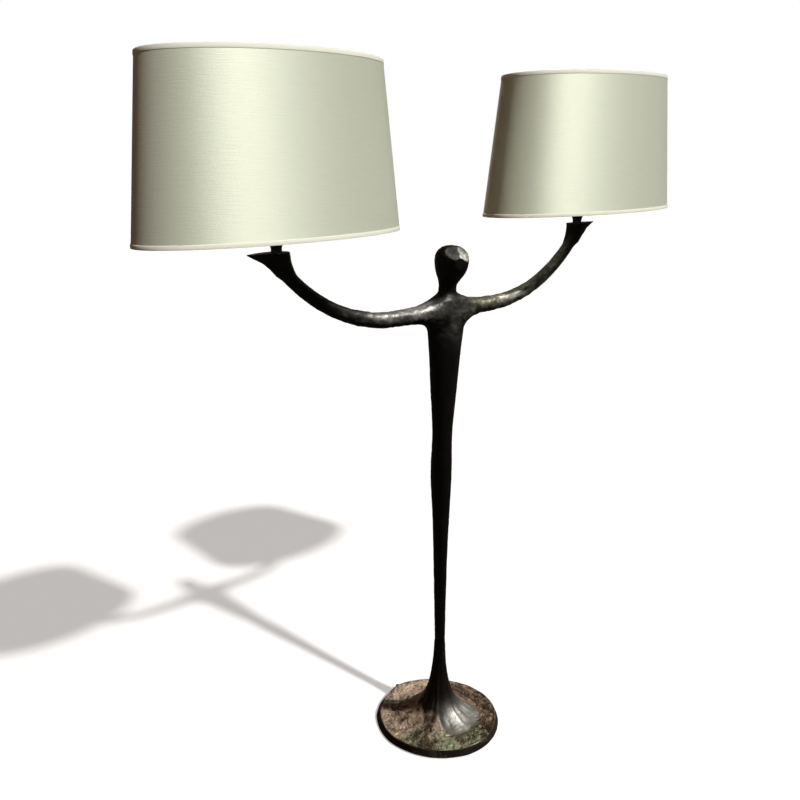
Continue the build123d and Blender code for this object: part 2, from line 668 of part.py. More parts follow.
def make_shell():
    """Outer shell of the lampholder, with the flange that the shade's fitter stands on."""
    shell = rod(HOLDER_RADIUS, SHELL_FLOOR, SHELL_HEIGHT)
    shell += rod(FLANGE_RADIUS, SHELL_FLOOR + FLANGE_LIFT, FLANGE_THICKNESS)
    shell -= rod(HOLDER_BORE, SHELL_FLOOR, SHELL_HEIGHT)
    return shell - rod(INSERT_FLANGE_RADIUS + SCREW_FIT, SHELL_FLOOR, INSERT_FLANGE_HEIGHT)


def make_screw_shell():
    """Thin threaded sleeve that the bulb's cap turns in."""
    outside = THREAD_SHELL_BORE + THREAD_SHELL_WALL
    return tube(THREAD_SHELL_BORE, outside, INSERT_TOP, THREAD_SHELL_HEIGHT)


def make_contact():
    """Sprung centre contact: a leaf with a raised nose."""
    leaf = Pos(0, 0, CONTACT_FLOOR) * Box(CONTACT_LENGTH, CONTACT_WIDTH, CONTACT_THICKNESS, align=STANDING)
    return leaf + rod(CONTACT_NOSE_RADIUS, CONTACT_FLOOR + CONTACT_THICKNESS, CONTACT_NOSE_HEIGHT)


def make_bulb_cap():
    """Screw cap of the bulb, open at the top for the glass."""
    taper = BULB_TIP + BULB_TIP_HEIGHT
    wide = taper + BULB_TAPER_HEIGHT
    bore = BULB_CAP_RADIUS - BULB_CAP_WALL
    return profile(
        (0, BULB_TIP),
        (BULB_TIP_RADIUS, BULB_TIP),
        (BULB_TIP_RADIUS, taper),
        (BULB_CAP_RADIUS, wide),
        (BULB_CAP_RADIUS, BULB_CAP_TOP),
        (bore, BULB_CAP_TOP),
        (bore, wide + BULB_CAP_WALL),
        (0, wide + BULB_CAP_WALL),
    )


def glass_line(inset):
    """Edges of the bulb's glass from neck to crown, drawn in by an inset."""
    neck = GLASS_NECK_RADIUS - inset
    belly = BULB_RADIUS - inset
    slant = math.sqrt(0.5) * belly
    straight = Line((neck, 0, GLASS_FLOOR), (neck, 0, BULB_CAP_TOP))
    flank = Spline(straight @ 1, (belly, 0, BULB_MIDDLE), tangents=[(0, 0, 1), (0, 0, 1)])
    crown = ThreePointArc(flank @ 1, (slant, 0, BULB_MIDDLE + slant), (0, 0, BULB_MIDDLE + belly))
    return straight, flank, crown


def make_glass():
    """Bulb glass, open at its neck."""
    outer = glass_line(0)
    inner = glass_line(GLASS_WALL)
    rim = Line(inner[0] @ 0, outer[0] @ 0)
    crown = Line(outer[2] @ 1, inner[2] @ 1)
    return turned(*outer, crown, *inner, rim)


def make_stem():
    """Stem in the bulb: foot, post and upright filaments between two plates."""
    floor = GLASS_FLOOR - MOVING_GAP - STEM_FOOT_HEIGHT
    post_top = floor + STEM_HEIGHT
    stem = rod(GLASS_NECK_RADIUS, floor, STEM_FOOT_HEIGHT)
    stem += rod(STEM_RADIUS, floor, STEM_HEIGHT)
    stem += rod(FILAMENT_PLATE_RADIUS, post_top, FILAMENT_PLATE_HEIGHT)
    for place in PolarLocations(FILAMENT_CIRCLE, FILAMENT_COUNT):
        stem += place * rod(FILAMENT_RADIUS, post_top, FILAMENT_HEIGHT)
    return stem + rod(FILAMENT_PLATE_RADIUS, post_top + FILAMENT_HEIGHT, FILAMENT_PLATE_HEIGHT)


def shade_axes(height):
    """Half length and half width of the shade's outside, at a height above its lower edge."""
    share = height / SHADE_HEIGHT
    half_length = SHADE_BOTTOM_LENGTH + (SHADE_TOP_LENGTH - SHADE_BOTTOM_LENGTH) * share
    half_width = SHADE_BOTTOM_WIDTH + (SHADE_TOP_WIDTH - SHADE_BOTTOM_WIDTH) * share
    return half_length / 2, half_width / 2


def shade_block(start, end, inset):
    """Solid tapered oval between two heights of the shade, drawn in by an inset."""
    faces = []
    for height in (start, end):
        half_length, half_width = shade_axes(height)
        faces.append(Pos(0, 0, SHADE_LIFT + height) * Ellipse(half_length - inset, half_width - inset))
    return loft(faces, ruled=True)


def shade_band(start, end, inset, outset):
    """Tapered oval wall between two heights of the shade."""
    return shade_block(start, end, -outset) - shade_block(start, end, inset)


def wire_axes(height, narrow_height):
    """Half axes of a wire oval that clears the panel at the height where it is narrower."""
    half_length, half_width = shade_axes(narrow_height)
    inset = PANEL_THICKNESS + WIRE_RADIUS + GLUE_GAP
    return half_length - inset, half_width - inset, SHADE_LIFT + height


def make_wire(height):
    """Oval wire inside the panel."""
    half_length, half_width, level = wire_axes(height, height + WIRE_RADIUS)
    path = Pos(0, 0, level) * Ellipse(half_length, half_width).edge()
    return sweep(Plane(path @ 0, z_dir=path % 0) * Circle(WIRE_RADIUS), path)


def make_fitter(wire):
    """Fitter ring with spokes out to the bottom wire."""
    bore = HOLDER_RADIUS + FITTER_PLAY
    fitter = tube(bore, FITTER_RADIUS, FITTER_FLOOR, FITTER_THICKNESS)
    height = WIRE_INSET + WIRE_RADIUS
    half_length, half_width, level = wire_axes(height, height + WIRE_RADIUS)
    inner = FITTER_RADIUS - SPOKE_SINK
    middle = FITTER_FLOOR + FITTER_THICKNESS / 2
    for x, y in ((1, 0), (-1, 0), (0, 1), (0, -1)):
        start = (x * inner, y * inner, middle)
        end = (x * half_length, y * half_width, level)
        fitter += rod_between(start, end, SPOKE_RADIUS)
    return fitter - wire


def make_shade():
    """The pieces of one shade, standing over the lampholder at the origin."""
    bottom_wire = make_wire(WIRE_INSET + WIRE_RADIUS)
    return {
        "shade_panel": shade_band(0, SHADE_HEIGHT, PANEL_THICKNESS, 0),
        "shade_top_trim": shade_band(SHADE_HEIGHT - TRIM_WIDTH, SHADE_HEIGHT, -GLUE_GAP, TRIM_THICKNESS),
        "shade_bottom_trim": shade_band(0, TRIM_WIDTH, -GLUE_GAP, TRIM_THICKNESS),
        "shade_top_wire": make_wire(SHADE_HEIGHT - WIRE_INSET - WIRE_RADIUS),
        "shade_bottom_wire": bottom_wire,
        "shade_fitter": make_fitter(bottom_wire),
    }


def make_holder(side):
    """The pieces of one lampholder, standing on the palm at the origin."""
    return {
        "nipple": make_nipple(),
        "holder_cap": make_cap(side),
        "holder_insert": make_insert(),
        "holder_shell": make_shell(),
        "screw_shell": make_screw_shell(),
        "shade_ring": tube(HOLDER_RADIUS + SCREW_FIT, SHADE_RING_RADIUS, SHADE_RING_FLOOR, SHADE_RING_HEIGHT),
        "centre_contact": make_contact(),
        "switch_bar": make_switch(side),
        "bulb_cap": make_bulb_cap(),
        "bulb_glass": make_glass(),
        "bulb_stem": make_stem(),
    }


def make_stand():
    """The base, the figure and what they hold."""
    block, poles, fixing = make_terminals()
    tag, earth_screw = make_earth()
    foot_grip = FOOT_Z - CEILING + FOOT_SCREW_GRIP
    places = [(p.X, p.Y, 0) for p in foot_screw_places()]
    arm = make_right_arm()
    lead = make_right_lead()
    return {
        "base_disc": make_base(),
        "base_felt": rod(BASE_RADIUS - FELT_MARGIN, 0, FELT_THICKNESS),
        "inlet_bush": make_bush(),
        "foot_screws": Compound(children=[screw(FOOT_SCREW_RADIUS, foot_grip, p, CEILING) for p in places]),
        "terminal_block": block,
        "terminal_screws": poles,
        "block_screw": fixing,
        "earth_tag": tag,
        "earth_screw": earth_screw,
        "figure_body": make_figure(),
        "figure_head": make_head(),
        "head_screw": head_screw(),
        "shoulder_screws": Compound(children=[shoulder_screw(side) for side in SIDES.values()]),
        "right_arm": arm,
        "left_arm": mirror(arm, Plane.YZ),
        "right_lead": lead,
        "left_lead": mirror(lead, Plane.YZ),
    }


def make_all():
    """Every node of the lamp, by name."""
    nodes = make_stand()
    shade = make_shade()
    for name, side in SIDES.items():
        seat = Pos(side * ARM_REACH, 0, PALM_Z)
        for piece, solid in make_holder(side).items():
            nodes[f"{name}_{piece}"] = seat * solid
        for piece, solid in shade.items():
            nodes[f"{name}_{piece}"] = seat * Rot(0, 0, SHADE_TURN[name]) * solid
    return nodes


os.makedirs("parts", exist_ok=True)
for node, shape in make_all().items():
    export_step(shape, f"parts/{node}.step")
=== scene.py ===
import math

import bmesh
import bpy
import numpy as np
from bpy.props import FloatProperty, FloatVectorProperty, PointerProperty
from mathutils import Matrix, Vector


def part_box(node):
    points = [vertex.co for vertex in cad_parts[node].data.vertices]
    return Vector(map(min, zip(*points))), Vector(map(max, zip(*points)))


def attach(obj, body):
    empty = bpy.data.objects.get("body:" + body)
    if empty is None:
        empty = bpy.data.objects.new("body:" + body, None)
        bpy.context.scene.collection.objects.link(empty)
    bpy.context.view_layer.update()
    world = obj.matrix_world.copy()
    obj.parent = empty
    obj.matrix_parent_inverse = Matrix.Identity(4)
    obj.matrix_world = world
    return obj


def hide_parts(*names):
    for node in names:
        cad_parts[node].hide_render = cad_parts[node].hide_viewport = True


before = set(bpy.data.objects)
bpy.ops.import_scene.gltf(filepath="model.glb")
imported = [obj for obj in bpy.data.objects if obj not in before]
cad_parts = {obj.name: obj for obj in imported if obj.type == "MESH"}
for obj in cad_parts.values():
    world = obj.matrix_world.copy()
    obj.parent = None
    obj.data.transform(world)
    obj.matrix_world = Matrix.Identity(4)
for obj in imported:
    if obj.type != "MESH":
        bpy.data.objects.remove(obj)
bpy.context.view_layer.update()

bl_info = {
    "name": "Bronze figure lamp",
    "version": (1, 0, 0),
    "blender": (4, 5, 0),
    "location": "View3D > Sidebar > Lamp",
    "description": "Cast bronze figure, rough base and silk shades of a two-armed lamp",
    "category": "Add Mesh",
}

# Shapes are worked out in millimetres and put into the meshes in metres.
MM = 0.001
SHARP_ANGLE = math.radians(55)  # edges bent more than this are shown sharp
SIDES = {"left": -1, "right": 1}


def low_corner(name):
    """Lowest corner of a CAD node in millimetres."""
    return np.array(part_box(name)[0]) / MM


def high_corner(name):
    """Highest corner of a CAD node in millimetres."""
    return np.array(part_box(name)[1]) / MM


def middle(name):
    """Middle of a CAD node's box in millimetres."""
    return (low_corner(name) + high_corner(name)) / 2


# Places read from the CAD nodes
BASE_TOP = high_corner("base_disc")[2]
BASE_FLOOR = low_corner("base_disc")[2]
NECK_Z = high_corner("figure_body")[2]
HEAD_TOP = high_corner("figure_head")[2]
PALM_Z = high_corner("right_arm")[2]
ARM_Z = middle("shoulder_screws")[2]
HOLDER_X = middle("right_nipple")[0]
INLET_Z = middle("inlet_bush")[2]

# Foot: a flare that runs up into the leg, seated in the base
ANKLE_Z = 164.5
ANKLE_RADIUS = 8.9
FOOT_SEAT = 2.5  # depth that the foot's edge runs on into the base
FOOT_INSIDE = 6.0  # hidden underside, inwards from the foot's edge
FOOT_OUTSIDE = 0.5  # hidden edge in the base, outwards from the foot's edge
FOOT_TOP_RADIUS = 0.5  # smallest ring on the ankle's cut, closed by a cap
FOOT_ROWS = 160
FOOT_TURNS = 360
FLARE_LONG = (40.0, 48.0)  # spread and fall of the flare up the leg
FLARE_SHORT = (27.0, 10.5)  # spread and fall of the flare out over the base
FOOT_RELIEF = (46.0, 64.0)  # radii between which the foot goes over into the relief of the base
RAY_DEPTH = 0.9  # streaks on the foot, as a share of the tool marks' depth
RAY_RISE = 4.0  # height above the base over which the streaks come in
RAY_LENGTH = 26.0
RAY_FINENESS = 8.0  # radius of the circle that the rays are drawn from, in lumps

# Trunk: height, half width, half depth and set back of each section from ankle to neck
TRUNK_SECTIONS = [
    (ANKLE_Z, ANKLE_RADIUS, ANKLE_RADIUS, 0.0),
    (247.5, 10.2, 10.4, 1.6),
    (330.5, 11.8, 12.2, 3.0),
    (405.5, 14.2, 14.4, 3.6),
    (480.5, 17.2, 17.8, 5.0),
    (550.5, 17.6, 15.2, 4.0),
    (620.5, 23.8, 17.4, 3.0),
    (690.5, 30.0, 20.0, 1.8),
    (721.0, 34.0, 21.0, 1.0),
    (740.0, 38.0, 20.0, 0.4),
    (751.0, 40.0, 19.0, 0.0),
    (762.0, 36.0, 18.0, 0.0),
    (769.0, 29.0, 17.0, 0.0),
    (778.0, 15.8, 14.2, -0.4),
    (788.0, 12.2, 12.4, -1.0),
    (796.0, 11.8, 12.0, -1.8),
]
SHOULDER_SPLIT = 44.0  # where the arms meet the torso

# Arms: the middle line runs level, bends through an arc and goes on straight under the palm
BEND_START = 104.5
BEND_RADIUS = 270.4
BEND_TURN = math.radians(45)
ARM_SECTIONS = [  # length along the middle line, radius
    (0.0, 13.8),
    (SHOULDER_SPLIT, 13.4),
    (BEND_START, 12.2),
    (157.6, 11.2),
    (210.7, 10.3),
    (263.8, 9.7),
    (316.9, 9.6),
    (334.0, 10.4),
    (348.0, 9.0),
]
SHOULDER_BLEND = 22.0  # width of the soft joint between arm and torso
HAND_BLEND = 10.0
NECK_BLEND = 5.0

# Hand: a drop-shaped palm, round at the lampholder and pointed at the finger tips, thinning downwards
PALM_INNER = 17.5
PALM_TIP = 48.0
PALM_HALF_WIDTH = 17.5
PALM_THICKNESS = 30.0
PALM_LEAN = 0.6  # slices moved towards the torso for each millimetre down
TIP_SLOPE = 1.4  # tip drawn back for each millimetre down
SIDE_SLOPE = 0.36
INNER_SLOPE = 0.42

# Head: height share, half width, half depth and forward lean of each section
HEAD_SECTIONS = [
    (-0.05, 12.0, 12.2, 0.8),
    (0.00, 12.2, 12.4, 1.0),
    (0.15, 15.2, 17.6, 3.8),
    (0.33, 19.8, 24.0, 6.8),
    (0.53, 22.8, 27.8, 8.2),
    (0.70, 23.0, 28.2, 8.4),
    (0.85, 20.6, 25.2, 8.0),
    (0.95, 14.8, 18.2, 7.2),
    (1.00, 8.4, 10.6, 6.6),
    (1.02, 2.0, 2.6, 6.2),
]
# Flat planes across the head: outward normal, and distance from its middle
HEAD_PLANES = [
    ((0.12, -0.76, 0.64), 23.4),
    ((-0.40, -0.56, 0.72), 22.6),
    ((-0.28, -0.95, 0.02), 25.6),
]
HEAD_MIDDLE = 0.60  # height share of the middle that the planes are set from
HEAD_LEAN = 8.0  # how far forward that middle lies

# Hammered marks, and rubbed bronze that is partly wear and partly painted highlight: where they come in, and
# where they fade
MARKED_SHOULDERS = ((705.0, 745.0), (760.0, 780.0))  # heights
MARKED_ARMS = ((25.0, 50.0), (140.0, 240.0))  # from the middle outwards
MARKED_LEG = (330.0, 180.0)  # heights, coming in downwards
MARKED_ANKLE = 10.0  # the marks fade this near to the ankle's cut
MARKED_PALM = (0.5, 6.0)  # depths under the flat palm
GROOVED_ARM = ((90.0, 150.0), (260.0, 300.0))  # x on the right arm
GROOVE_STRETCH = (0.1, 1, 1)  # scale of the lumps that makes them grooves along the arm
STREAK_STRETCH = (0.25, 1, 1)  # the same for the rubbed streaks, which are partly painted highlight
RUBBED_HIGHLIGHT_SIDE = (0.0, -0.55, 0.835)  # direction that the rubbed side of the arms faces, up and forward towards the light: this side is painted lighter
RUBBED_HIGHLIGHT_REACH = {"left": 185.0, "right": 300.0}  # how far out along each arm the bronze is rubbed, following where each arm is lit
RUBBED_HIGHLIGHT_START = (20.0, 60.0)  # from the middle outwards
RUBBED_HIGHLIGHT_CHEST = ((680.0, 745.0), (760.0, 780.0))  # heights
RUBBED_HIGHLIGHT_HEAD = (25.0, 32.0)  # heights above the neck
HEAD_FACING = (0.94, 0.985)  # how squarely the rubbed skin faces along a plane of the head; these lighter planes are partly painted highlight
OLIVE_ARM = ((20.0, 60.0), (80.0, 170.0))  # x on the right arm

SKIN_STEP = 1.5  # grid step of the cast skin
SKIN_MARGIN = 4.0
SKIN_BACK = 30.0  # grid's end behind the figure
CAST_GRAIN = 0.0010  # height of the fine grain, in metres
FOOT_BROWN = 0.16  # share of brown in the dark patina round the foot

# Base: closed profile of the turned ring, from the wiring chamber round the rim to the foot's seat
CHAMBER_RADIUS = 86.0
CHAMBER_CEILING = 10.5
BASE_HOLE_RADIUS = 30.0
BASE_SEAT_RADIUS = 58.0  # inner edge of the top face, under the foot
BASE_SEAT_LIP = 0.5  # height of the hole's straight wall
BASE_RADIUS = 113.4
BASE_TOP_RADIUS = 108.5
BASE_CHAMFER = 1.5  # at the lower edge
RIM_ROUND = 2.5
RIM_TURN = math.radians(15)  # where the round of the rim goes over into the side
RIM_DEPTH = 0.5  # sinking of the rim, where the relief ends
RELIEF_EDGE = (BASE_TOP_RADIUS + 1.0, BASE_TOP_RADIUS - 7.0)  # radii over which the relief comes in
TOP_ROWS = 70
RIM_ROWS = 8
SIDE_ROWS = 10
FELT_MARGIN = 4.0  # felt edge inside the base's lower edge
FELT_MIDDLE = 0.05  # smallest ring of the felt
BASE_OUTLINE = [  # hand-cast outline: turn in degrees, radius at the bottom, radius at the top edge
    (-180, 119.0, 114.0),
    (-150, 117.5, 113.0),
    (-120, 115.5, 110.5),
    (-90, 112.5, 108.0),
    (-60, 108.0, 103.5),
    (-30, 108.0, 104.0),
    (0, 108.0, 101.5),
    (30, 108.0, 97.5),
    (60, 109.0, 98.5),
    (90, 111.0, 104.5),
    (120, 111.5, 104.0),
    (150, 114.5, 108.5),
    (180, 119.0, 114.0),
]
BASE_TURNS = 900
BASE_WOBBLE = 0.006  # slow change of the outline, as a share of the radius

# Relief of the base
LUMP_MEAN = 1.5  # mean depth of the lumps
LUMP_DEPTH = 2.2
SHELF_EDGE = (5.0, 53.0, 0.0085)  # x and y of the raised shelf's front edge, and how fast it curves back
SHELF_STEP = (2.5, -1.0)  # distances ahead of the edge over which the shelf rises
SHELF_FACE = ((-1.0, 1.0), (5.0, 13.0))  # distances ahead of the edge that the smooth step covers
SHELF_RISE = 3.0
HOLLOW_DEPTH = 3.6  # hollow in front of the shelf
HOLLOW_LENGTH = 22.0
HOLLOW_SIDE = (45.0, 5.0)  # x over which the hollow deepens
RIDGE_PLACE = (-25.0, 20.0, 33.0)  # x, y and radius of the curved ridge on the left
RIDGE_WIDTH = 4.2
RIDGE_SIDE = (-5.0, -25.0)  # x over which the ridge comes in
RIDGE_BACK = (30.0, 10.0)  # y over which the ridge comes in
RIDGE_RISE = 3.0
STROKE_SIDE = (38.0, 60.0)  # x over which the long strokes come in
STROKE_SLANT = 0.08
STROKE_WIDTH = 2.6
STROKE_DEPTH = 0.5
INLET_DIMPLE = 5.0  # hollow in the rim round the inlet bush
INLET_HOLLOW = (7.0, 4.6)  # radii round the bush over which the hollow deepens
INLET_WALL = CHAMBER_RADIUS + 4.0  # what lies further back is the outside of the rim

# Colours of the foot and the base: directions, and radii over which they come in
POLISHED_HIGHLIGHT_TURN = math.radians(-75)  # direction of the rubbed, smooth front of the foot, whose lighter bare metal is partly a painted highlight
FRONT_LEFT_TURN = math.radians(-150)
FRONT_TURN = math.radians(-125)  # direction of the green front of the base
RIGHT_TURN = math.radians(-20)  # direction of the dark brown side of the base
GROUND_EDGE = 31.0  # radius of the smooth bronze round the leg
GROUND_POLISHED = 44.0  # how much further the smooth bronze reaches on the polished front
GROUND_LEFT = 14.0  # how much further it reaches on the front left
GROUND_WANDER = (7.0, 3.0)  # coarse and fine wandering of its edge
GROUND_BLUR = 6.0  # half width of its soft edge
GREEN_RADII = (52.0, 84.0)
BROWN_RADII = (ANKLE_RADIUS, 30.0)
RUBBED_HIGHLIGHT_RADII = (22.0, 45.0)

# Shades and their trims
SHADE_PIECES = ("silk_panel", "top_tape", "bottom_tape")
TRIM_WIDTH = 5.0
TRIM_THICKNESS = 0.7
TRIM_LIFT = 0.5  # tape above the panel's edge where it folds over
TRIM_ROUND = (0.1, 0.7)  # start and end of the round along the tape's edge
TRIM_FOLD = 0.5  # where the fold over the panel's edge starts
TRIM_INSIDE = 0.35  # thickness inside the panel
TRIM_BULGE = 0.1  # how much thicker the inside is halfway
TRIM_GAP = 0.02  # from the tape's edge to the silk
PANEL_THICKNESS = 1.2
PANEL_LEVEL = 0.01  # how near to an edge's height a point of the CAD panel counts as on it
PANEL_COLUMNS = 512
PANEL_ROWS = 48
WEAVE_HEIGHT = 0.0002  # height of the threads, in metres

# Light and floor
SUN_COLOUR = (1.0, 0.985, 0.95)
ROOM_COLOUR = (1.0, 0.98, 0.95)
ROOM_BROWN = (1.15, 0.58, 0.36)  # room light from behind on the left
LEFT_BACK = (-0.7, 0.7, 0.0)
FLOOR_DIM = (0.10, 0.09, 0.08)  # floor as the lamp sees it
FLOOR_PALE = (0.92, 0.92, 0.92)
FLOOR_GLOW = (0.42, 0.42, 0.42)
FLOOR_REACH = 60.0  # metres

# Camera: place, and the directions of its right and up sides
CAMERA_PLACE = Vector((-0.92198, -0.89830, 0.96223))
CAMERA_RIGHT = Vector((0.79809, -0.60179, -0.02996))
CAMERA_UP = Vector((0.21561, 0.23879, 0.94683))
CAMERA_LENS = 36.786
CAMERA_SHIFT = (0.1038, 0.0593)


def colour_setting(name, description, default):
    """Colour that a user can change."""
    return FloatVectorProperty(
        name=name, description=description, default=default, size=3, min=0.0, max=1.0, subtype="COLOR")


def angle_setting(name, description, degrees):
    """Angle that a user can change, given in degrees."""
    return FloatProperty(
        name=name, description=description, default=math.radians(degrees), subtype="ANGLE")


def strength_setting(name, description, default):
    """Strength of a light that a user can change."""
    return FloatProperty(name=name, description=description, default=default, min=0.0, max=20.0)


class CastSettings(bpy.types.PropertyGroup):
    """Finish of the cast bronze figure."""

    mark_depth: FloatProperty(
        name="Tool marks", description="Depth of the hammered marks on the arms and shoulders",
        default=0.0011, min=0.0, max=0.003, unit="LENGTH")
    patina: colour_setting("Patina", "Colour of the dark patina", (0.0016, 0.0011, 0.0010))
    worn: colour_setting("Worn bronze", "Colour where the patina is rubbed thin", (0.045, 0.039, 0.029))
    # Rubbed and olive bronze colour the rubbed mask: partly wear, partly painted highlight.
    bare: colour_setting("Rubbed bronze", "Colour where the bronze is rubbed bare", (0.410, 0.400, 0.365))
    olive: colour_setting("Olive bronze", "Colour of the rubbed right arm", (0.200, 0.193, 0.130))


class BaseSettings(bpy.types.PropertyGroup):
    """Finish of the rough base."""

    tan: colour_setting("Brown patina", "Colour of the raised parts of the base", (0.520, 0.395, 0.300))
    brown: colour_setting("Dark patina", "Colour of the darker side of the base", (0.130, 0.083, 0.047))
    pits: colour_setting("Pits", "Colour of the hollows in the base", (0.040, 0.024, 0.013))
    verdigris: colour_setting("Green patina", "Colour of the front of the base", (0.270, 0.290, 0.180))


class ShadeSettings(bpy.types.PropertyGroup):
    """Finish of the silk shades."""

    silk: colour_setting("Silk", "Colour of the shade's silk", (0.765, 0.80, 0.655))
    tape: colour_setting("Edge tape", "Colour of the tape along the shade's edges", (0.86, 0.86, 0.74))
    slub_pitch: FloatProperty(
        name="Slub pitch", description="Height of one thread in the silk's weave",
        default=0.0011, min=0.0002, max=0.01, unit="LENGTH")


class StageSettings(bpy.types.PropertyGroup):
    """Light on the lamp and on the floor. Azimuths turn from the front towards the right-hand shade."""

    key_strength: strength_setting("Key light", "Strength of the high light on the bronze", 4.4)
    key_azimuth: angle_setting("Key azimuth", "Turn of the light on the bronze", 41)
    key_elevation: angle_setting("Key elevation", "Height of the light above the floor", 47)
    key_spread: angle_setting("Key softness", "Angle that the light on the lamp covers", 5)
    silk_strength: strength_setting("Silk light", "Strength of the light on the shades", 3.6)
    silk_azimuth: angle_setting("Silk azimuth", "Turn of the light on the shades", 6)
    silk_elevation: angle_setting("Silk elevation", "Height of the light on the shades", 38)
    fill_strength: strength_setting("Fill light", "Strength of the light on the backs of the shades", 2.0)
    fill_azimuth: angle_setting("Fill azimuth", "Turn of the light on the backs of the shades", 145)
    floor_strength: strength_setting("Shadow light", "Strength of the light on the floor", 2.6)
    floor_azimuth: angle_setting("Shadow azimuth", "Turn of the light that casts the shadow on the floor", 8)
    floor_spread: angle_setting("Shadow softness", "Angle that the floor's light covers", 2.5)
    ambient: FloatProperty(
        name="Room light", description="Strength of the even light from the room",
        default=0.10, min=0.0, max=2.0)


class LampSettings(bpy.types.PropertyGroup):
    """All settings of the lamp."""

    cast: PointerProperty(type=CastSettings)
    base: PointerProperty(type=BaseSettings)
    shade: PointerProperty(type=ShadeSettings)
    stage: PointerProperty(type=StageSettings)


def eased(rows, place):
    """Cubic steps through rows of (place, values), with the slope between the neighbours at each row."""
    rows = np.asarray(rows, float)
    at, values = rows[:, 0], rows[:, 1:]
    slope = np.gradient(values, at, axis=0)
    i = np.clip(np.searchsorted(at, place) - 1, 0, len(at) - 2)
    span = at[i + 1] - at[i]
    t = np.clip((place - at[i]) / span, 0, 1)[..., None]
    span = span[..., None]
    start = (1 + 2 * t) * (1 - t) ** 2 * values[i] + t * (1 - t) ** 2 * span * slope[i]
    end = t**2 * (3 - 2 * t) * values[i + 1] + t**2 * (t - 1) * span * slope[i + 1]
    return np.moveaxis(start + end, -1, 0)


def soft_union(a, b, width):
    """Smaller of two fields, rounded by a quadratic where they are within a width of each other."""
    near = np.maximum(width - np.abs(a - b), 0)
    return np.minimum(a, b) - near**2 / (4 * width)


def smooth_step(value, start, end):
    """Cubic step from 0 at start to 1 at end."""
    t = np.clip((value - start) / (end - start), 0, 1)
    return t * t * (3 - 2 * t)


def window(value, rise, fall):
    """1 between two cubic steps: up over the places of the first, and down over those of the second."""
    return smooth_step(value, *rise) * smooth_step(value, fall[1], fall[0])


def lumps(points, cell, seed):
    """Random heights from -1 to 1: values on a seeded lattice, eased between each cell's eight corners."""
    size = 32  # cells along each side before the lattice repeats
    lattice = np.random.default_rng(seed).uniform(-1, 1, (size, size, size))
    place = points / cell
    floor = np.floor(place).astype(int)
    share = place - floor
    share = share * share * (3 - 2 * share)
    total = np.zeros(len(points))
    for corner in np.ndindex(2, 2, 2):
        weight = np.prod(np.where(corner, share, 1 - share), axis=1)
        i, j, k = ((floor + corner) % size).T
        total += weight * lattice[i, j, k]
    return total


def level_lumps(x, y, cell, seed):
    """Lumps on a level plane."""
    return lumps(np.stack([x, y, np.zeros_like(x)], axis=1), cell, seed)


def oval_field(x, y, half_width, half_depth, middle_y):
    """Roughly the distance outside a level oval: its scaled radius less one, times the smaller half axis."""
    radius = np.sqrt((x / half_width) ** 2 + ((y - middle_y) / half_depth) ** 2)
    return (radius - 1) * np.minimum(half_width, half_depth)


def trunk_field(x, y, z):
    """Leg column, torso and neck: ovals eased through the sections, ended a little past ankle and neck."""
    half_width, half_depth, set_back = eased(TRUNK_SECTIONS, z)
    ends = np.maximum(ANKLE_Z - SKIN_MARGIN / 2 - z, z - TRUNK_SECTIONS[-1][0])
    return np.maximum(oval_field(x, y, half_width, half_depth, set_back), ends)


def arm_field(x, y, z):
    """Both arms: distance from the middle line (level, arc, straight) less the radius at that length."""
    out = np.abs(x)
    turn = np.clip(np.arctan2(out - BEND_START, ARM_Z + BEND_RADIUS - z), 0, BEND_TURN)
    on_x = np.where(out < BEND_START, out, BEND_START + BEND_RADIUS * np.sin(turn))
    on_z = ARM_Z + BEND_RADIUS * (1 - np.cos(turn))
    beyond = np.maximum((out - on_x) * np.cos(turn) + (z - on_z) * np.sin(turn), 0)
    beyond = np.where(turn >= BEND_TURN, beyond, 0)
    length = np.minimum(out, BEND_START) + BEND_RADIUS * turn + beyond
    end = ARM_SECTIONS[-1][0]
    beyond -= np.maximum(length - end, 0)
    across = np.hypot(out - on_x - beyond * np.cos(turn), z - on_z - beyond * np.sin(turn))
    return np.hypot(across, y) - eased(ARM_SECTIONS, np.minimum(length, end))[0]


def hand_field(x, y, z):
    """Open palms: drop-shaped slices that draw in downwards. The pointed part is divided by its own
    steepness, so that its value runs close to the distance."""
    down = np.clip(PALM_Z - z, 0, PALM_THICKNESS)
    out = np.abs(x) - HOLDER_X + PALM_LEAN * down
    half_width = PALM_HALF_WIDTH - SIDE_SLOPE * down
    tip = PALM_TIP - TIP_SLOPE * down
    inner = PALM_INNER - INNER_SLOPE * down
    round_end = (np.hypot(out / inner, y / half_width) - 1) * half_width
    point_end = np.abs(y) + half_width * ((out / tip) ** 2 - 1)
    steep = 2 * out * half_width / tip**2
    point_end = point_end / np.sqrt(1 + (1 + (TIP_SLOPE + PALM_LEAN) ** 2) * steep**2)
    side = np.where(out < 0, round_end, point_end)
    below = PALM_Z - PALM_THICKNESS - z
    return np.hypot(np.maximum(side, 0), np.maximum(below, 0)) + np.minimum(np.maximum(side, below), 0)


def unit(direction):
    """Direction with a length of one."""
    return np.array(direction) / np.linalg.norm(direction)


def head_field(x, y, z):
    """Egg-shaped head cut by flat planes, with no features."""
    height = HEAD_TOP - NECK_Z
    share = (z - NECK_Z) / height
    half_width, half_depth, lean = eased(HEAD_SECTIONS, share)
    ends = height * np.maximum(share - HEAD_SECTIONS[-1][0], HEAD_SECTIONS[0][0] - share)
    head = np.maximum(oval_field(x, y, half_width, half_depth, -lean), ends)
    for normal, distance in HEAD_PLANES:
        n = unit(normal)
        plane = n[0] * x + n[1] * (y + HEAD_LEAN) + n[2] * (z - NECK_Z - HEAD_MIDDLE * height)
        head = np.maximum(head, plane - distance)
    return head


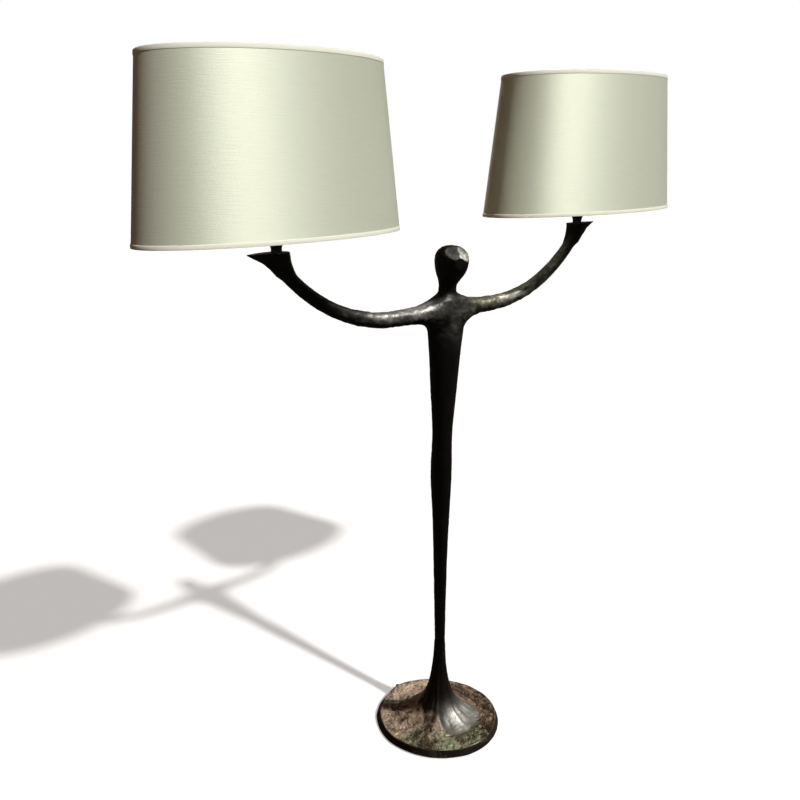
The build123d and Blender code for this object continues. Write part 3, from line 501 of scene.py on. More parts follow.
def figure_field(x, y, z):
    """The whole casting above the ankle: trunk, arms, hands and head, softly joined, with flat palms."""
    arms = soft_union(arm_field(x, y, z), hand_field(x, y, z), HAND_BLEND)
    arms = np.maximum(arms, z - PALM_Z)
    body = soft_union(trunk_field(x, y, z), arms, SHOULDER_BLEND)
    return soft_union(body, head_field(x, y, z), NECK_BLEND)


def skin(field, low, high, step):
    """Surface where a field is zero: a point for each grid cell it crosses, at the mean of the crossings
    on the cell's edges, and a four-sided face for each grid edge it crosses."""
    counts = np.ceil((high - low) / step).astype(int) + 1
    axes = [low[i] + step * np.arange(counts[i]) for i in range(3)]
    value = field(*np.meshgrid(*axes, indexing="ij", sparse=True))
    cells, crossings = [], []
    for axis in range(3):
        start = np.moveaxis(value, axis, 0)[:-1]
        end = np.moveaxis(value, axis, 0)[1:]
        found = np.argwhere((start < 0) != (end < 0))
        a, b = start[tuple(found.T)], end[tuple(found.T)]
        found[:, :axis + 1] = np.roll(found[:, :axis + 1], -1, axis=1)
        point = found.astype(float)
        point[:, axis] += a / (a - b)
        u, v = np.eye(3, dtype=int)[[(axis + 1) % 3, (axis + 2) % 3]]
        ring = np.stack([found - u - v, found - v, found, found - u], axis=1)
        ring = np.where((a < 0)[:, None, None], ring, ring[:, ::-1])
        cells.append(np.ravel_multi_index(np.moveaxis(ring, 2, 0), counts))
        crossings.append(point)
    cells = np.concatenate(cells)
    crossings = np.repeat(np.concatenate(crossings), 4, axis=0)
    used, faces = np.unique(cells, return_inverse=True)
    faces = faces.reshape(-1, 4)
    totals = [np.bincount(faces.ravel(), crossings[:, i], len(used)) for i in range(3)]
    points = np.stack(totals, axis=1) / np.bincount(faces.ravel(), minlength=len(used))[:, None]
    return low + step * points, faces


def grid_faces(rows, columns, closed_rows):
    """Faces of a grid whose columns run round in a ring, and its rows too if they are closed."""
    last = rows if closed_rows else rows - 1
    i, j = np.meshgrid(np.arange(last), np.arange(columns), indexing="ij")
    up, over = (i + 1) % rows, (j + 1) % columns
    corners = [i * columns + j, i * columns + over, up * columns + over, up * columns + j]
    return np.stack(corners, axis=-1).reshape(-1, 4)


def new_mesh(name, points, faces, caps=()):
    """Smooth mesh from points in millimetres, four-sided faces, and caps of one ring of points each."""
    mesh = bpy.data.meshes.new(name)
    mesh.from_pydata((points * MM).tolist(), [], faces.tolist() + list(caps))
    mesh.shade_smooth()
    mesh.update()
    return mesh


def vertex_normals(mesh):
    """Vertex normals as an array."""
    normals = np.zeros(len(mesh.vertices) * 3)
    mesh.vertices.foreach_get("normal", normals)
    return normals.reshape(-1, 3)


def set_points(mesh, points):
    """Moves the mesh's points, given in millimetres."""
    mesh.vertices.foreach_set("co", (points * MM).ravel())
    mesh.update()


def set_attribute(mesh, name, values):
    """Stores one number per point for the materials."""
    attribute = mesh.attributes.new(name, "FLOAT", "POINT")
    attribute.data.foreach_set("value", values.astype(np.float32))


def add_piece(mesh, body, slot, material, *nodes):
    """Shows a mesh as a piece that rides on a body and stands for CAD nodes."""
    piece = bpy.data.objects.new(mesh.name, mesh)
    bpy.context.scene.collection.objects.link(piece)
    mesh.materials.append(material)
    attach(piece, body)
    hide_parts(*nodes)
    return piece


def cut_piece(mesh, name, planes):
    """Copy of a mesh behind each plane of (point in millimetres, outward normal), closed at the cuts."""
    shape = bmesh.new()
    shape.from_mesh(mesh)
    for point, normal in planes:
        geometry = shape.verts[:] + shape.edges[:] + shape.faces[:]
        bmesh.ops.bisect_plane(
            shape, geom=geometry, plane_co=Vector(point) * MM, plane_no=normal, clear_outer=True)
        rim = [edge for edge in shape.edges if edge.is_boundary]
        bmesh.ops.holes_fill(shape, edges=rim, sides=0)
    piece = bpy.data.meshes.new(name)
    shape.to_mesh(piece)
    shape.free()
    piece.set_sharp_from_angle(angle=SHARP_ANGLE)
    return piece


def unrolled(points):
    """Points with the arms' bend straightened: length along the middle line, y, and height above it."""
    out = np.abs(points[:, 0])
    inward = ARM_Z + BEND_RADIUS - points[:, 2]
    turn = np.arctan2(out - BEND_START, inward)
    bent = (out > BEND_START) & (inward > 0)
    length = np.where(bent, BEND_START + BEND_RADIUS * turn, out)
    height = np.where(bent, BEND_RADIUS - np.hypot(out - BEND_START, inward), points[:, 2] - ARM_Z)
    return np.stack([np.sign(points[:, 0]) * length, points[:, 1], height], axis=1)


def cast_marks(points):
    """Hammered marks from -1 to 1: two sizes of lumps, strong on shoulders and upper arms and faint
    elsewhere, and grooves along the right arm."""
    x, z = points[:, 0], points[:, 2]
    marks = 0.60 * lumps(points, cell=10.0, seed=3) + 0.40 * lumps(points, cell=4.2, seed=4)
    marks *= smooth_step(np.abs(z - ANKLE_Z), 0, MARKED_ANKLE)
    strong = np.maximum(window(z, *MARKED_SHOULDERS), window(np.abs(x), *MARKED_ARMS))
    leg = smooth_step(z, *MARKED_LEG)
    grooves = window(x, *GROOVED_ARM) * lumps(unrolled(points) * GROOVE_STRETCH, cell=4.0, seed=8)
    return marks * np.clip(0.3 + strong + 0.2 * leg, 0, 1) + 0.5 * grooves


def rubbed_highlight_share(points, normals):
    """Bare metal where hands rub, and partly a painted highlight: the front planes of the head and, in
    streaks, the sides of the arms and the chest that face up and forward to the light.
    """
    x, z = points[:, 0], points[:, 2]
    out = np.abs(x)
    front, side = (smooth_step(normals @ unit(plane), *HEAD_FACING) for plane, _ in HEAD_PLANES[:2])
    patches = np.clip(0.8 + 0.6 * lumps(points, cell=2.4, seed=7), 0, 1)
    head = (front + 0.3 * side) * patches * smooth_step(z - NECK_Z, *RUBBED_HIGHLIGHT_HEAD)
    streaks = lumps(unrolled(points) * STREAK_STRETCH, cell=5.0, seed=5)
    streaks = smooth_step(streaks + 0.5 * lumps(points, cell=2.5, seed=6), -0.5, 0.6)
    # Lighter on the side that faces up and forward, towards the light: painted highlight.
    upper = smooth_step(normals @ np.array(RUBBED_HIGHLIGHT_SIDE), -0.1, 0.8)
    reach = np.where(x > 0, RUBBED_HIGHLIGHT_REACH["right"], RUBBED_HIGHLIGHT_REACH["left"])
    arms = smooth_step(out, *RUBBED_HIGHLIGHT_START) * smooth_step(out, reach, 0.7 * reach) * np.where(x > 0, 1.2, 0.9)
    chest = 0.25 * window(z, *RUBBED_HIGHLIGHT_CHEST)
    return np.clip(np.maximum(head, np.maximum(arms, chest) * upper * (0.35 + 0.6 * streaks)), 0, 1)


def node(tree, kind, inputs=(), **settings):
    """New shader node with its settings and input values, or links where an input is a socket."""
    made = tree.nodes.new("ShaderNode" + kind)
    for key, value in settings.items():
        setattr(made, key, value)
    for key, value in dict(inputs).items():
        if isinstance(value, bpy.types.NodeSocket):
            tree.links.new(value, made.inputs[key])
        else:
            made.inputs[key].default_value = value
    return made


def mix(tree, factor, a, b):
    """Colour mixed from a to b by a factor. A Mix node of colours has its sockets at 0, 6, 7 and 2."""
    made = node(tree, "Mix", data_type="RGBA")
    for socket, value in ((made.inputs[0], factor), (made.inputs[6], a), (made.inputs[7], b)):
        if isinstance(value, bpy.types.NodeSocket):
            tree.links.new(value, socket)
        else:
            socket.default_value = (*value, 1.0)
    return made.outputs[2]


def ramp(tree, value, start, end, low=0.0, high=1.0):
    """Value stretched so that start gives low and end gives high, kept between them."""
    places = {"Value": value, "From Min": start, "From Max": end, "To Min": low, "To Max": high}
    return node(tree, "MapRange", places).outputs[0]


def math_node(tree, operation, a, b):
    """One operation on two values."""
    return node(tree, "Math", {0: a, 1: b}, operation=operation).outputs[0]


def new_material(name):
    """Empty node material and its surface shader."""
    material = bpy.data.materials.new(name)
    material.use_nodes = True
    return material, material.node_tree, material.node_tree.nodes["Principled BSDF"]


def set_shader(shader, **values):
    """Values on the shader's own sockets, by socket name with underscores."""
    for key, value in values.items():
        shader.inputs[key.replace("_", " ")].default_value = value


def new_group(name, inputs, outputs):
    """Empty shader group with number inputs of (name, value), and named number outputs."""
    group = bpy.data.node_groups.new(name, "ShaderNodeTree")
    for label, default in inputs:
        socket = group.interface.new_socket(label, in_out="INPUT", socket_type="NodeSocketFloat")
        socket.default_value = default
    for label in outputs:
        group.interface.new_socket(label, in_out="OUTPUT", socket_type="NodeSocketFloat")
    start = group.nodes.new("NodeGroupInput")
    end = group.nodes.new("NodeGroupOutput")
    return group, start, end


def casting_group():
    """Cast metal surface: a blotch mask, a speckle mask and a fine height, from Object coordinates."""
    scales = [("Blotch Scale", 40.0), ("Speckle Scale", 420.0)]
    group, start, end = new_group("casting", scales, ["Blotch", "Speckle", "Height"])
    place = node(group, "TexCoord").outputs["Object"]
    blotch = node(group, "TexNoise", {"Vector": place, "Scale": start.outputs[0], "Detail": 4.0})
    speckle = node(group, "TexNoise", {"Vector": place, "Scale": start.outputs[1], "Detail": 3.0})
    height = math_node(group, "ADD", blotch.outputs["Fac"], speckle.outputs["Fac"])
    for socket, value in zip(end.inputs, (blotch.outputs["Fac"], speckle.outputs["Fac"], height)):
        group.links.new(value, socket)
    return group


def weave_group():
    """Woven silk: level slub threads and a fine crossing thread, from the piece's own UV in metres."""
    sizes = [("Thread Pitch", 0.0016), ("Slub Length", 0.03)]
    group, start, end = new_group("weave", sizes, ["Slub", "Thread"])
    uv = node(group, "SeparateXYZ", {0: node(group, "TexCoord").outputs["UV"]})
    along = math_node(group, "DIVIDE", uv.outputs[0], start.outputs[1])
    rise = math_node(group, "DIVIDE", uv.outputs[1], start.outputs[0])
    place = node(group, "CombineXYZ", {0: along, 1: rise})
    slub = node(group, "TexNoise", {"Vector": place.outputs[0], "Scale": 1.0, "Detail": 2.0})
    fine = math_node(group, "DIVIDE", uv.outputs[0], start.outputs[0])
    cross = node(group, "CombineXYZ", {0: fine, 1: rise})
    thread = node(group, "TexNoise", {"Vector": cross.outputs[0], "Scale": 1.6, "Detail": 1.0})
    group.links.new(slub.outputs["Fac"], end.inputs[0])
    group.links.new(thread.outputs["Fac"], end.inputs[1])
    return group


def place_group(tree, group, inputs=()):
    """Group node in a material, with its own values."""
    made = tree.nodes.new("ShaderNodeGroup")
    made.node_tree = group
    for key, value in dict(inputs).items():
        made.inputs[key].default_value = value
    return made


def shared_group(name, make):
    """Group by name, made the first time it is asked for."""
    return bpy.data.node_groups.get(name) or make()


def bump(tree, shader, height, distance):
    """Fine relief on a shader's normal."""
    made = node(tree, "Bump", {"Strength": 1.0, "Distance": distance, "Height": height})
    tree.links.new(made.outputs[0], shader.inputs["Normal"])


def attribute(tree, name):
    """Number that a piece's points carry under a name, or 0 where they carry none."""
    return node(tree, "Attribute", attribute_name=name).outputs["Fac"]


def between(tree, share, low, high):
    """Value from low to high by a share from 0 to 1."""
    return ramp(tree, share, 0.0, 1.0, low, high)


def waxed_colour(tree, cast, base, blotch, rubbed):
    """Dark patina, worn on the high marks, browner round the foot, and bare or olive metal on the rubbed
    mask, which is partly wear and partly painted highlight.
    """
    high = ramp(tree, math_node(tree, "ADD", attribute(tree, "marks"), blotch), 0.75, 1.25)
    colour = mix(tree, high, cast.patina, cast.worn)
    browned = math_node(tree, "MULTIPLY", attribute(tree, "brown"), FOOT_BROWN)
    colour = mix(tree, browned, colour, base.brown)
    metal = mix(tree, attribute(tree, "green"), cast.bare, cast.olive)
    return mix(tree, rubbed, colour, metal)


def ground_colour(tree, base, blotch, speckle):
    """Rough patina: tan, brown on the right, green on the front, and dark in the pits."""
    colour = mix(tree, attribute(tree, "brown"), base.tan, base.brown)
    tint = math_node(tree, "MULTIPLY", attribute(tree, "green"), ramp(tree, blotch, 0.25, 0.50))
    colour = mix(tree, tint, colour, base.verdigris)
    speckled = math_node(tree, "ADD", attribute(tree, "pits"), speckle)
    return mix(tree, ramp(tree, speckled, 0.55, 1.20), colour, base.pits)


def cast_material(name, cast, base):
    """Waxed bronze, rubbed bare in places as partly wear and partly painted highlight, with a rough patina
    where the ground mask is set.
    """
    material, tree, shader = new_material(name)
    casting = place_group(tree, shared_group("casting", casting_group))
    blotch, speckle = casting.outputs["Blotch"], casting.outputs["Speckle"]
    ground = attribute(tree, "ground")
    # The rubbed mask turns the bronze lighter, bare and metallic: partly wear, partly painted highlight.
    rubbed = math_node(tree, "MULTIPLY", attribute(tree, "rubbed"), ramp(tree, blotch, 0.20, 0.55))
    waxed = waxed_colour(tree, cast, base, blotch, rubbed)
    colour = mix(tree, ground, waxed, ground_colour(tree, base, blotch, speckle))
    tree.links.new(colour, shader.inputs["Base Color"])
    rough = between(tree, rubbed, ramp(tree, blotch, 0.3, 0.7, 0.40, 0.54), 0.50)
    tree.links.new(between(tree, ground, rough, 0.55), shader.inputs["Roughness"])
    tree.links.new(between(tree, rubbed, 0.3, 0.85), shader.inputs["Metallic"])
    set_shader(shader, Coat_Weight=0.08, Coat_Roughness=0.4, Specular_IOR_Level=0.25)
    grain = math_node(tree, "MULTIPLY", casting.outputs["Height"], between(tree, ground, 0.2, 1.0))
    bump(tree, shader, grain, CAST_GRAIN)
    return material


def plain_material(name, colour, grain, **values):
    """Plain finish with a faint blotchy change of colour."""
    material, tree, shader = new_material(name)
    casting = place_group(tree, shared_group("casting", casting_group), {"Blotch Scale": 90.0})
    colour = np.array(colour)
    darker = tuple(colour * (1 - grain))
    mixed = mix(tree, ramp(tree, casting.outputs["Blotch"], 0.3, 0.7), darker, tuple(colour))
    tree.links.new(mixed, shader.inputs["Base Color"])
    set_shader(shader, **values)
    return material


def turned(radius, height, turns):
    """Points of a profile turned about the lamp's axis, as flat x, y and z arrays."""
    turn = np.linspace(0, 2 * np.pi, turns, endpoint=False)
    x = np.outer(radius, np.cos(turn)).ravel()
    y = np.outer(radius, np.sin(turn)).ravel()
    return x, y, np.repeat(height, turns)


def foot_profile():
    """Radius and height of the flared foot from its hidden underside to the ankle. The radius falls with
    height by two exponentials, a long one and a short one."""
    rise = (ANKLE_Z - BASE_TOP) * np.linspace(0, 1, FOOT_ROWS) ** 3
    long, short = (spread * np.exp(-rise / fall) for spread, fall in (FLARE_LONG, FLARE_SHORT))
    radius = ANKLE_RADIUS + long + short - long[-1]
    hidden = [radius[0] - FOOT_INSIDE, radius[0] + FOOT_OUTSIDE]
    radius = np.concatenate([hidden, radius, [FOOT_TOP_RADIUS]])
    height = BASE_TOP + np.concatenate([[-FOOT_SEAT, -FOOT_SEAT], rise, [rise[-1]]])
    return radius, height


def base_profile():
    """Closed profile of the base ring as (radius, height) rows, close together along the top and rim."""
    top_edge = BASE_TOP_RADIUS - RIM_ROUND
    turn = np.linspace(np.pi / 2, RIM_TURN, RIM_ROWS)
    rim = RIM_ROUND * np.stack([np.cos(turn), np.sin(turn)], axis=1)
    rim += np.array([top_edge, BASE_TOP - RIM_ROUND])
    seat = [[BASE_HOLE_RADIUS, CHAMBER_CEILING], [BASE_HOLE_RADIUS, CHAMBER_CEILING + BASE_SEAT_LIP]]
    top = np.linspace([BASE_SEAT_RADIUS, BASE_TOP], [top_edge, BASE_TOP], TOP_ROWS)
    side = np.linspace(rim[-1], [BASE_RADIUS, BASE_FLOOR + BASE_CHAMFER], SIDE_ROWS)
    under = [
        [BASE_RADIUS - BASE_CHAMFER, BASE_FLOOR],
        [CHAMBER_RADIUS, BASE_FLOOR],
        [CHAMBER_RADIUS, CHAMBER_CEILING],
    ]
    return np.concatenate([seat, top, rim[1:], side[1:], under])[::-1]


def base_outline(x, y, z):
    """Share by which the round base is drawn in or out to its hand-cast outline, with a slow wobble."""
    bottom, top = eased(BASE_OUTLINE, np.degrees(np.arctan2(y, x)))
    high = np.clip((z - BASE_FLOOR) / (BASE_TOP - RIM_ROUND - BASE_FLOOR), 0, 1)
    change = bottom / BASE_RADIUS + (top / BASE_TOP_RADIUS - bottom / BASE_RADIUS) * high - 1
    wobble = BASE_WOBBLE * lumps(np.stack([x, y, z], axis=1), cell=18.0, seed=15)
    start = np.where(z < BASE_TOP - RIM_ROUND, CHAMBER_RADIUS, BASE_SEAT_RADIUS)
    return 1 + (change + wobble) * smooth_step(np.hypot(x, y), start, BASE_TOP_RADIUS - RIM_ROUND)


def shelf_share(x, y):
    """Raised shelf of the base behind a curved edge, 1 on it and 0 in front, and the distance ahead."""
    middle_x, edge_y, curve = SHELF_EDGE
    ahead = edge_y + curve * (x - middle_x) ** 2 - y
    return smooth_step(ahead, *SHELF_STEP), ahead


def rough_lumps(x, y):
    """Rough casting lumps from about -1 to 1, in three sizes."""
    coarse = 0.45 * level_lumps(x, y, cell=11.0, seed=11) + 0.40 * level_lumps(x, y, cell=5.0, seed=12)
    return coarse + 0.30 * level_lumps(x, y, cell=2.2, seed=13)


def ridge_share(x, y):
    """Curved ridge on the left of the base: 1 along an arc, falling away on both sides."""
    ridge_x, ridge_y, ridge_radius = RIDGE_PLACE
    off_ridge = np.hypot(x - ridge_x, y - ridge_y) - ridge_radius
    height = np.exp(-((off_ridge / RIDGE_WIDTH) ** 2))
    return height * smooth_step(x, *RIDGE_SIDE) * smooth_step(y, *RIDGE_BACK)


def strokes(x, y):
    """Long strokes across the right of the base: a sine from -1 to 1, broken up by the lumps."""
    wave = (x + STROKE_SLANT * y) / STROKE_WIDTH + 2.5 * rough_lumps(x, y)
    return np.sin(wave) * smooth_step(x, *STROKE_SIDE)


def ground_share(x, y):
    """Cover of rough patina: all outside a wandering edge round the leg, further out on the front."""
    turn = np.arctan2(y, x)
    polished = smooth_step(np.cos(turn - POLISHED_HIGHLIGHT_TURN), 0.45, 0.85)
    front_left = smooth_step(np.cos(turn - FRONT_LEFT_TURN), 0.6, 0.95)
    edge = GROUND_EDGE + GROUND_POLISHED * polished + GROUND_LEFT * front_left
    coarse, fine = GROUND_WANDER
    edge += coarse * level_lumps(x, y, cell=16.0, seed=21) + fine * level_lumps(x, y, cell=5.0, seed=22)
    return smooth_step(np.hypot(x, y), edge - GROUND_BLUR, edge + GROUND_BLUR)


def base_depth(x, y):
    """Depth in millimetres of the base's relief: the sum of the lumps, a raised shelf with a smooth step and
    a hollow before it, a ridge, and strokes."""
    shelf, ahead = shelf_share(x, y)
    hollow = np.exp(-np.maximum(ahead, 0) / HOLLOW_LENGTH) * smooth_step(x, *HOLLOW_SIDE) * (1 - shelf)
    ridge = ridge_share(x, y)
    smooth = np.maximum(window(ahead, *SHELF_FACE), ridge)
    rough = rough_lumps(x, y) * ground_share(x, y) * (1 - 0.7 * smooth)
    raised = SHELF_RISE * shelf + RIDGE_RISE * ridge
    return LUMP_MEAN + LUMP_DEPTH * rough + HOLLOW_DEPTH * hollow - raised + STROKE_DEPTH * strokes(x, y)


def foot_rays(x, y):
    """Streaks that run out from the leg over the foot, from -1 to 1: lumps on the direction, drawn out."""
    radius, turn = np.hypot(x, y), np.arctan2(y, x)
    around = RAY_FINENESS * np.cos(turn), RAY_FINENESS * np.sin(turn)
    return lumps(np.stack([*around, radius / RAY_LENGTH], axis=1), cell=1.0, seed=24)


def set_base_attributes(mesh, x, y, cover, worn):
    """Masks that colour the foot and the base: rough ground, pits, green front, brown right, and rubbed foot
    and rim, whose lighter bare metal is partly wear and partly painted highlight."""
    radius, turn = np.hypot(x, y), np.arctan2(y, x)
    set_attribute(mesh, "ground", ground_share(x, y) * cover)
    broad = 0.5 * level_lumps(x, y, cell=26.0, seed=23)
    shelf, ahead = shelf_share(x, y)
    pits = 0.36 + 0.65 * rough_lumps(x, y) + 0.15 * strokes(x, y) + 0.55 * broad
    set_attribute(mesh, "pits", pits - 0.15 * shelf - 0.45 * ridge_share(x, y))
    front = smooth_step(np.cos(turn - FRONT_TURN) + 0.2 * broad, 0.50, 0.85)
    front *= smooth_step(radius, *GREEN_RADII)
    set_attribute(mesh, "green", np.maximum(front, 0.8 * window(ahead, *SHELF_FACE)))
    right = smooth_step(np.cos(turn - RIGHT_TURN) + 0.4 * broad, 0.35, 0.85)
    brown = np.maximum(0.75 * right, smooth_step(broad, 0.12, 0.35))
    brown = np.maximum(brown, 0.4) * (1 - 0.9 * shelf * (1 - right))
    set_attribute(mesh, "brown", brown * smooth_step(radius, *BROWN_RADII))
    # Polished front of the foot: lighter bare metal, partly wear and partly painted highlight.
    rubbed = smooth_step(np.cos(turn - POLISHED_HIGHLIGHT_TURN), 0.35, 0.85) * smooth_step(radius, *RUBBED_HIGHLIGHT_RADII)
    rubbed *= cover * np.clip(0.58 + 0.4 * foot_rays(x, y), 0, 1)
    set_attribute(mesh, "rubbed", np.maximum(rubbed, worn))


class LAMP_OT_cast_figure(bpy.types.Operator):
    """Cast skin of the figure, its head and its arms, cut where the castings meet, and the flared foot"""

    bl_idname = "lamp.cast_figure"
    bl_label = "Cast figure"

    def execute(self, context):
        settings = context.scene.figure_lamp.cast
        material = cast_material("dark_bronze", settings, context.scene.figure_lamp.base)
        mesh = self.whole_skin(settings)
        self.add_castings(mesh, material)
        bpy.data.meshes.remove(mesh)
        self.add_foot(settings, material)
        return {"FINISHED"}

    def whole_skin(self, settings):
        """Skin of the whole figure, moved out and in along its normals by the marks."""
        reach = high_corner("right_arm")[0] + SKIN_MARGIN
        low = np.array([-reach, low_corner("figure_head")[1] - SKIN_MARGIN, ANKLE_Z - SKIN_MARGIN])
        high = np.array([reach, SKIN_BACK, PALM_Z + SKIN_MARGIN])
        points, faces = skin(figure_field, low, high, SKIN_STEP)
        mesh = new_mesh("cast_figure", points, faces)
        marks = cast_marks(points)
        flat = smooth_step(PALM_Z - points[:, 2], *MARKED_PALM)
        points += vertex_normals(mesh) * (marks * flat * settings.mark_depth / MM)[:, None]
        set_points(mesh, points)
        set_attribute(mesh, "marks", marks)
        set_attribute(mesh, "rubbed", rubbed_highlight_share(points, vertex_normals(mesh)))
        set_attribute(mesh, "green", window(points[:, 0], *OLIVE_ARM))
        return mesh

    def add_castings(self, mesh, material):
        """Body, head and arms, cut from the skin at the ankle, the neck and the shoulders."""
        left = ((-SHOULDER_SPLIT, 0, 0), (-1, 0, 0))
        right = ((SHOULDER_SPLIT, 0, 0), (1, 0, 0))
        neck = ((0, 0, NECK_Z), (0, 0, 1))
        ankle = ((0, 0, ANKLE_Z), (0, 0, -1))
        cuts = {
            "figure_body": [left, right, neck, ankle],
            "figure_head": [left, right, (neck[0], (0, 0, -1))],
            "left_arm": [(left[0], (1, 0, 0))],
            "right_arm": [(right[0], (-1, 0, 0))],
        }
        for name, planes in cuts.items():
            piece = cut_piece(mesh, "cast_" + name, planes)
            add_piece(piece, "stand", "bronze", material, name)

    def add_foot(self, settings, material):
        """Flared foot, turned from its profile, with streaks and an edge that follows the base's relief."""
        radius, height = foot_profile()
        x, y, z = turned(radius, height, FOOT_TURNS)
        points = np.stack([x, y, z], axis=1)
        ring = list(range(FOOT_TURNS))
        top_ring = [len(points) - FOOT_TURNS + i for i in ring]
        faces = grid_faces(len(radius), FOOT_TURNS, False)
        mesh = new_mesh("cast_foot", points, faces, [ring[::-1], top_ring])
        marks = cast_marks(points)
        marks += RAY_DEPTH * foot_rays(x, y) * smooth_step(z, BASE_TOP, BASE_TOP + RAY_RISE)
        points += vertex_normals(mesh) * (marks * settings.mark_depth / MM)[:, None]
        points[:, 2] -= base_depth(x, y) * smooth_step(np.hypot(x, y), *FOOT_RELIEF)
        set_points(mesh, points)
        set_attribute(mesh, "marks", marks)
        set_base_attributes(mesh, x, y, np.ones_like(x), np.zeros_like(x))
        mesh.set_sharp_from_angle(angle=SHARP_ANGLE)
        add_piece(mesh, "stand", "bronze", material, "figure_body")


class LAMP_OT_rough_base(bpy.types.Operator):
    """Rough cast base disc with its wiring chamber, and the felt under it, turned about the axis"""

    bl_idname = "lamp.rough_base"
    bl_label = "Rough base"

    def execute(self, context):
        settings = context.scene.figure_lamp
        profile = base_profile()
        x, y, z = turned(*profile.T, BASE_TURNS)
        radius = np.hypot(x, y)
        upper = smooth_step(z, BASE_TOP - RIM_ROUND, BASE_TOP)
        depth = upper * (RIM_DEPTH + (base_depth(x, y) - RIM_DEPTH) * smooth_step(radius, *RELIEF_EDGE))
        outline = base_outline(x, y, z)
        from_inlet = np.hypot(x, z - INLET_Z)
        dimple = INLET_DIMPLE * smooth_step(from_inlet, *INLET_HOLLOW) * (y > INLET_WALL)
        inward = outline - dimple / radius
        points = np.stack([x * inward, y * inward, z - depth], axis=1)
        mesh = new_mesh("rough_base", points, grid_faces(len(profile), BASE_TURNS, True))
        set_attribute(mesh, "marks", 0.8 * lumps(points, cell=6.0, seed=16))
        # Worn top edge of the rim: lighter bare metal, partly wear and partly a painted edge highlight.
        off_edge = np.abs(radius - BASE_TOP_RADIUS + RIM_ROUND / 2)
        edge = smooth_step(off_edge, RIM_ROUND, 0) * (z > BASE_TOP - RIM_ROUND)
        worn = 0.8 * edge * smooth_step(lumps(points, cell=14.0, seed=17), -0.3, 0.5)
        set_base_attributes(mesh, x, y, smooth_step(upper, 0.2, 0.9), worn)
        material = cast_material("rough_bronze", settings.cast, settings.base)
        add_piece(mesh, "stand", "base_bronze", material, "base_disc")
        self.add_felt()
        return {"FINISHED"}

    def add_felt(self):
        """Felt under the base, cut a little inside its outline."""
        edge = BASE_RADIUS - FELT_MARGIN
        radius = np.array([FELT_MIDDLE, CHAMBER_RADIUS, edge, edge, CHAMBER_RADIUS, FELT_MIDDLE])
        height = np.repeat([0.0, BASE_FLOOR], 3)
        x, y, z = turned(radius, height, BASE_TURNS)
        outline = base_outline(x, y, np.full_like(x, BASE_FLOOR))
        points = np.stack([x * outline, y * outline, z], axis=1)
        mesh = new_mesh("cut_felt", points, grid_faces(len(radius), BASE_TURNS, True))
        mesh.set_sharp_from_angle(angle=SHARP_ANGLE)
        felt = plain_material("black_felt", (0.016, 0.018, 0.016), 0.4, Roughness=0.95, Sheen_Weight=0.5)
        add_piece(mesh, "stand", "felt", felt, "base_felt")


def silk_material(settings):
    """Satin silk: ivory threads with level slubs and a sheen along the threads."""
    material, tree, shader = new_material("ivory_silk")
    weave = place_group(tree, shared_group("weave", weave_group), {"Thread Pitch": settings.slub_pitch})
    silk = np.array(settings.silk)
    slub = ramp(tree, weave.outputs["Slub"], 0.30, 0.70)
    colour = mix(tree, slub, tuple(silk * 0.93), tuple(silk))
    thread = ramp(tree, weave.outputs["Thread"], 0.35, 0.60)
    colour = mix(tree, thread, tuple(silk * 0.92), colour)
    tree.links.new(colour, shader.inputs["Base Color"])
    set_shader(shader, Metallic=0.40, Roughness=0.61, Anisotropic=0.6, Anisotropic_Rotation=0.25)
    along = node(tree, "Tangent", direction_type="UV_MAP")
    tree.links.new(along.outputs[0], shader.inputs["Tangent"])
    height = math_node(tree, "ADD", weave.outputs["Slub"], weave.outputs["Thread"])
    bump(tree, shader, height, WEAVE_HEIGHT)
    return material


def tape_material(settings):
    """Edge tape: plain ivory weave."""
    material, tree, shader = new_material("ivory_tape")
    weave = place_group(
        tree, shared_group("weave", weave_group), {"Thread Pitch": 0.0009, "Slub Length": 0.003})
    tape = np.array(settings.tape)
    colour = mix(tree, weave.outputs["Slub"], tuple(tape * 0.9), tuple(tape))
    tree.links.new(colour, shader.inputs["Base Color"])
    set_shader(shader, Roughness=0.7, Sheen_Weight=0.2)
    bump(tree, shader, weave.outputs["Thread"], WEAVE_HEIGHT)
    return material


def running_length(points):
    """Length along a row of points, from 0 at the first."""
    return np.concatenate([[0], np.cumsum(np.linalg.norm(np.diff(points, axis=0), axis=1))])


def set_band_uv(mesh, arc, rise):
    """UV map of a band in metres: each face's corners at the lengths round the band and along its profile."""
    u = np.stack([arc[:-1], arc[1:], arc[1:], arc[:-1]], axis=-1)
    v = np.stack([rise[:-1], rise[:-1], rise[1:], rise[1:]], axis=-1)
    uv = np.stack(np.broadcast_arrays(u[None], v[:, None]), axis=-1) * MM
    mesh.uv_layers.new(name="UVMap").data.foreach_set("uv", uv.astype(np.float32).ravel())


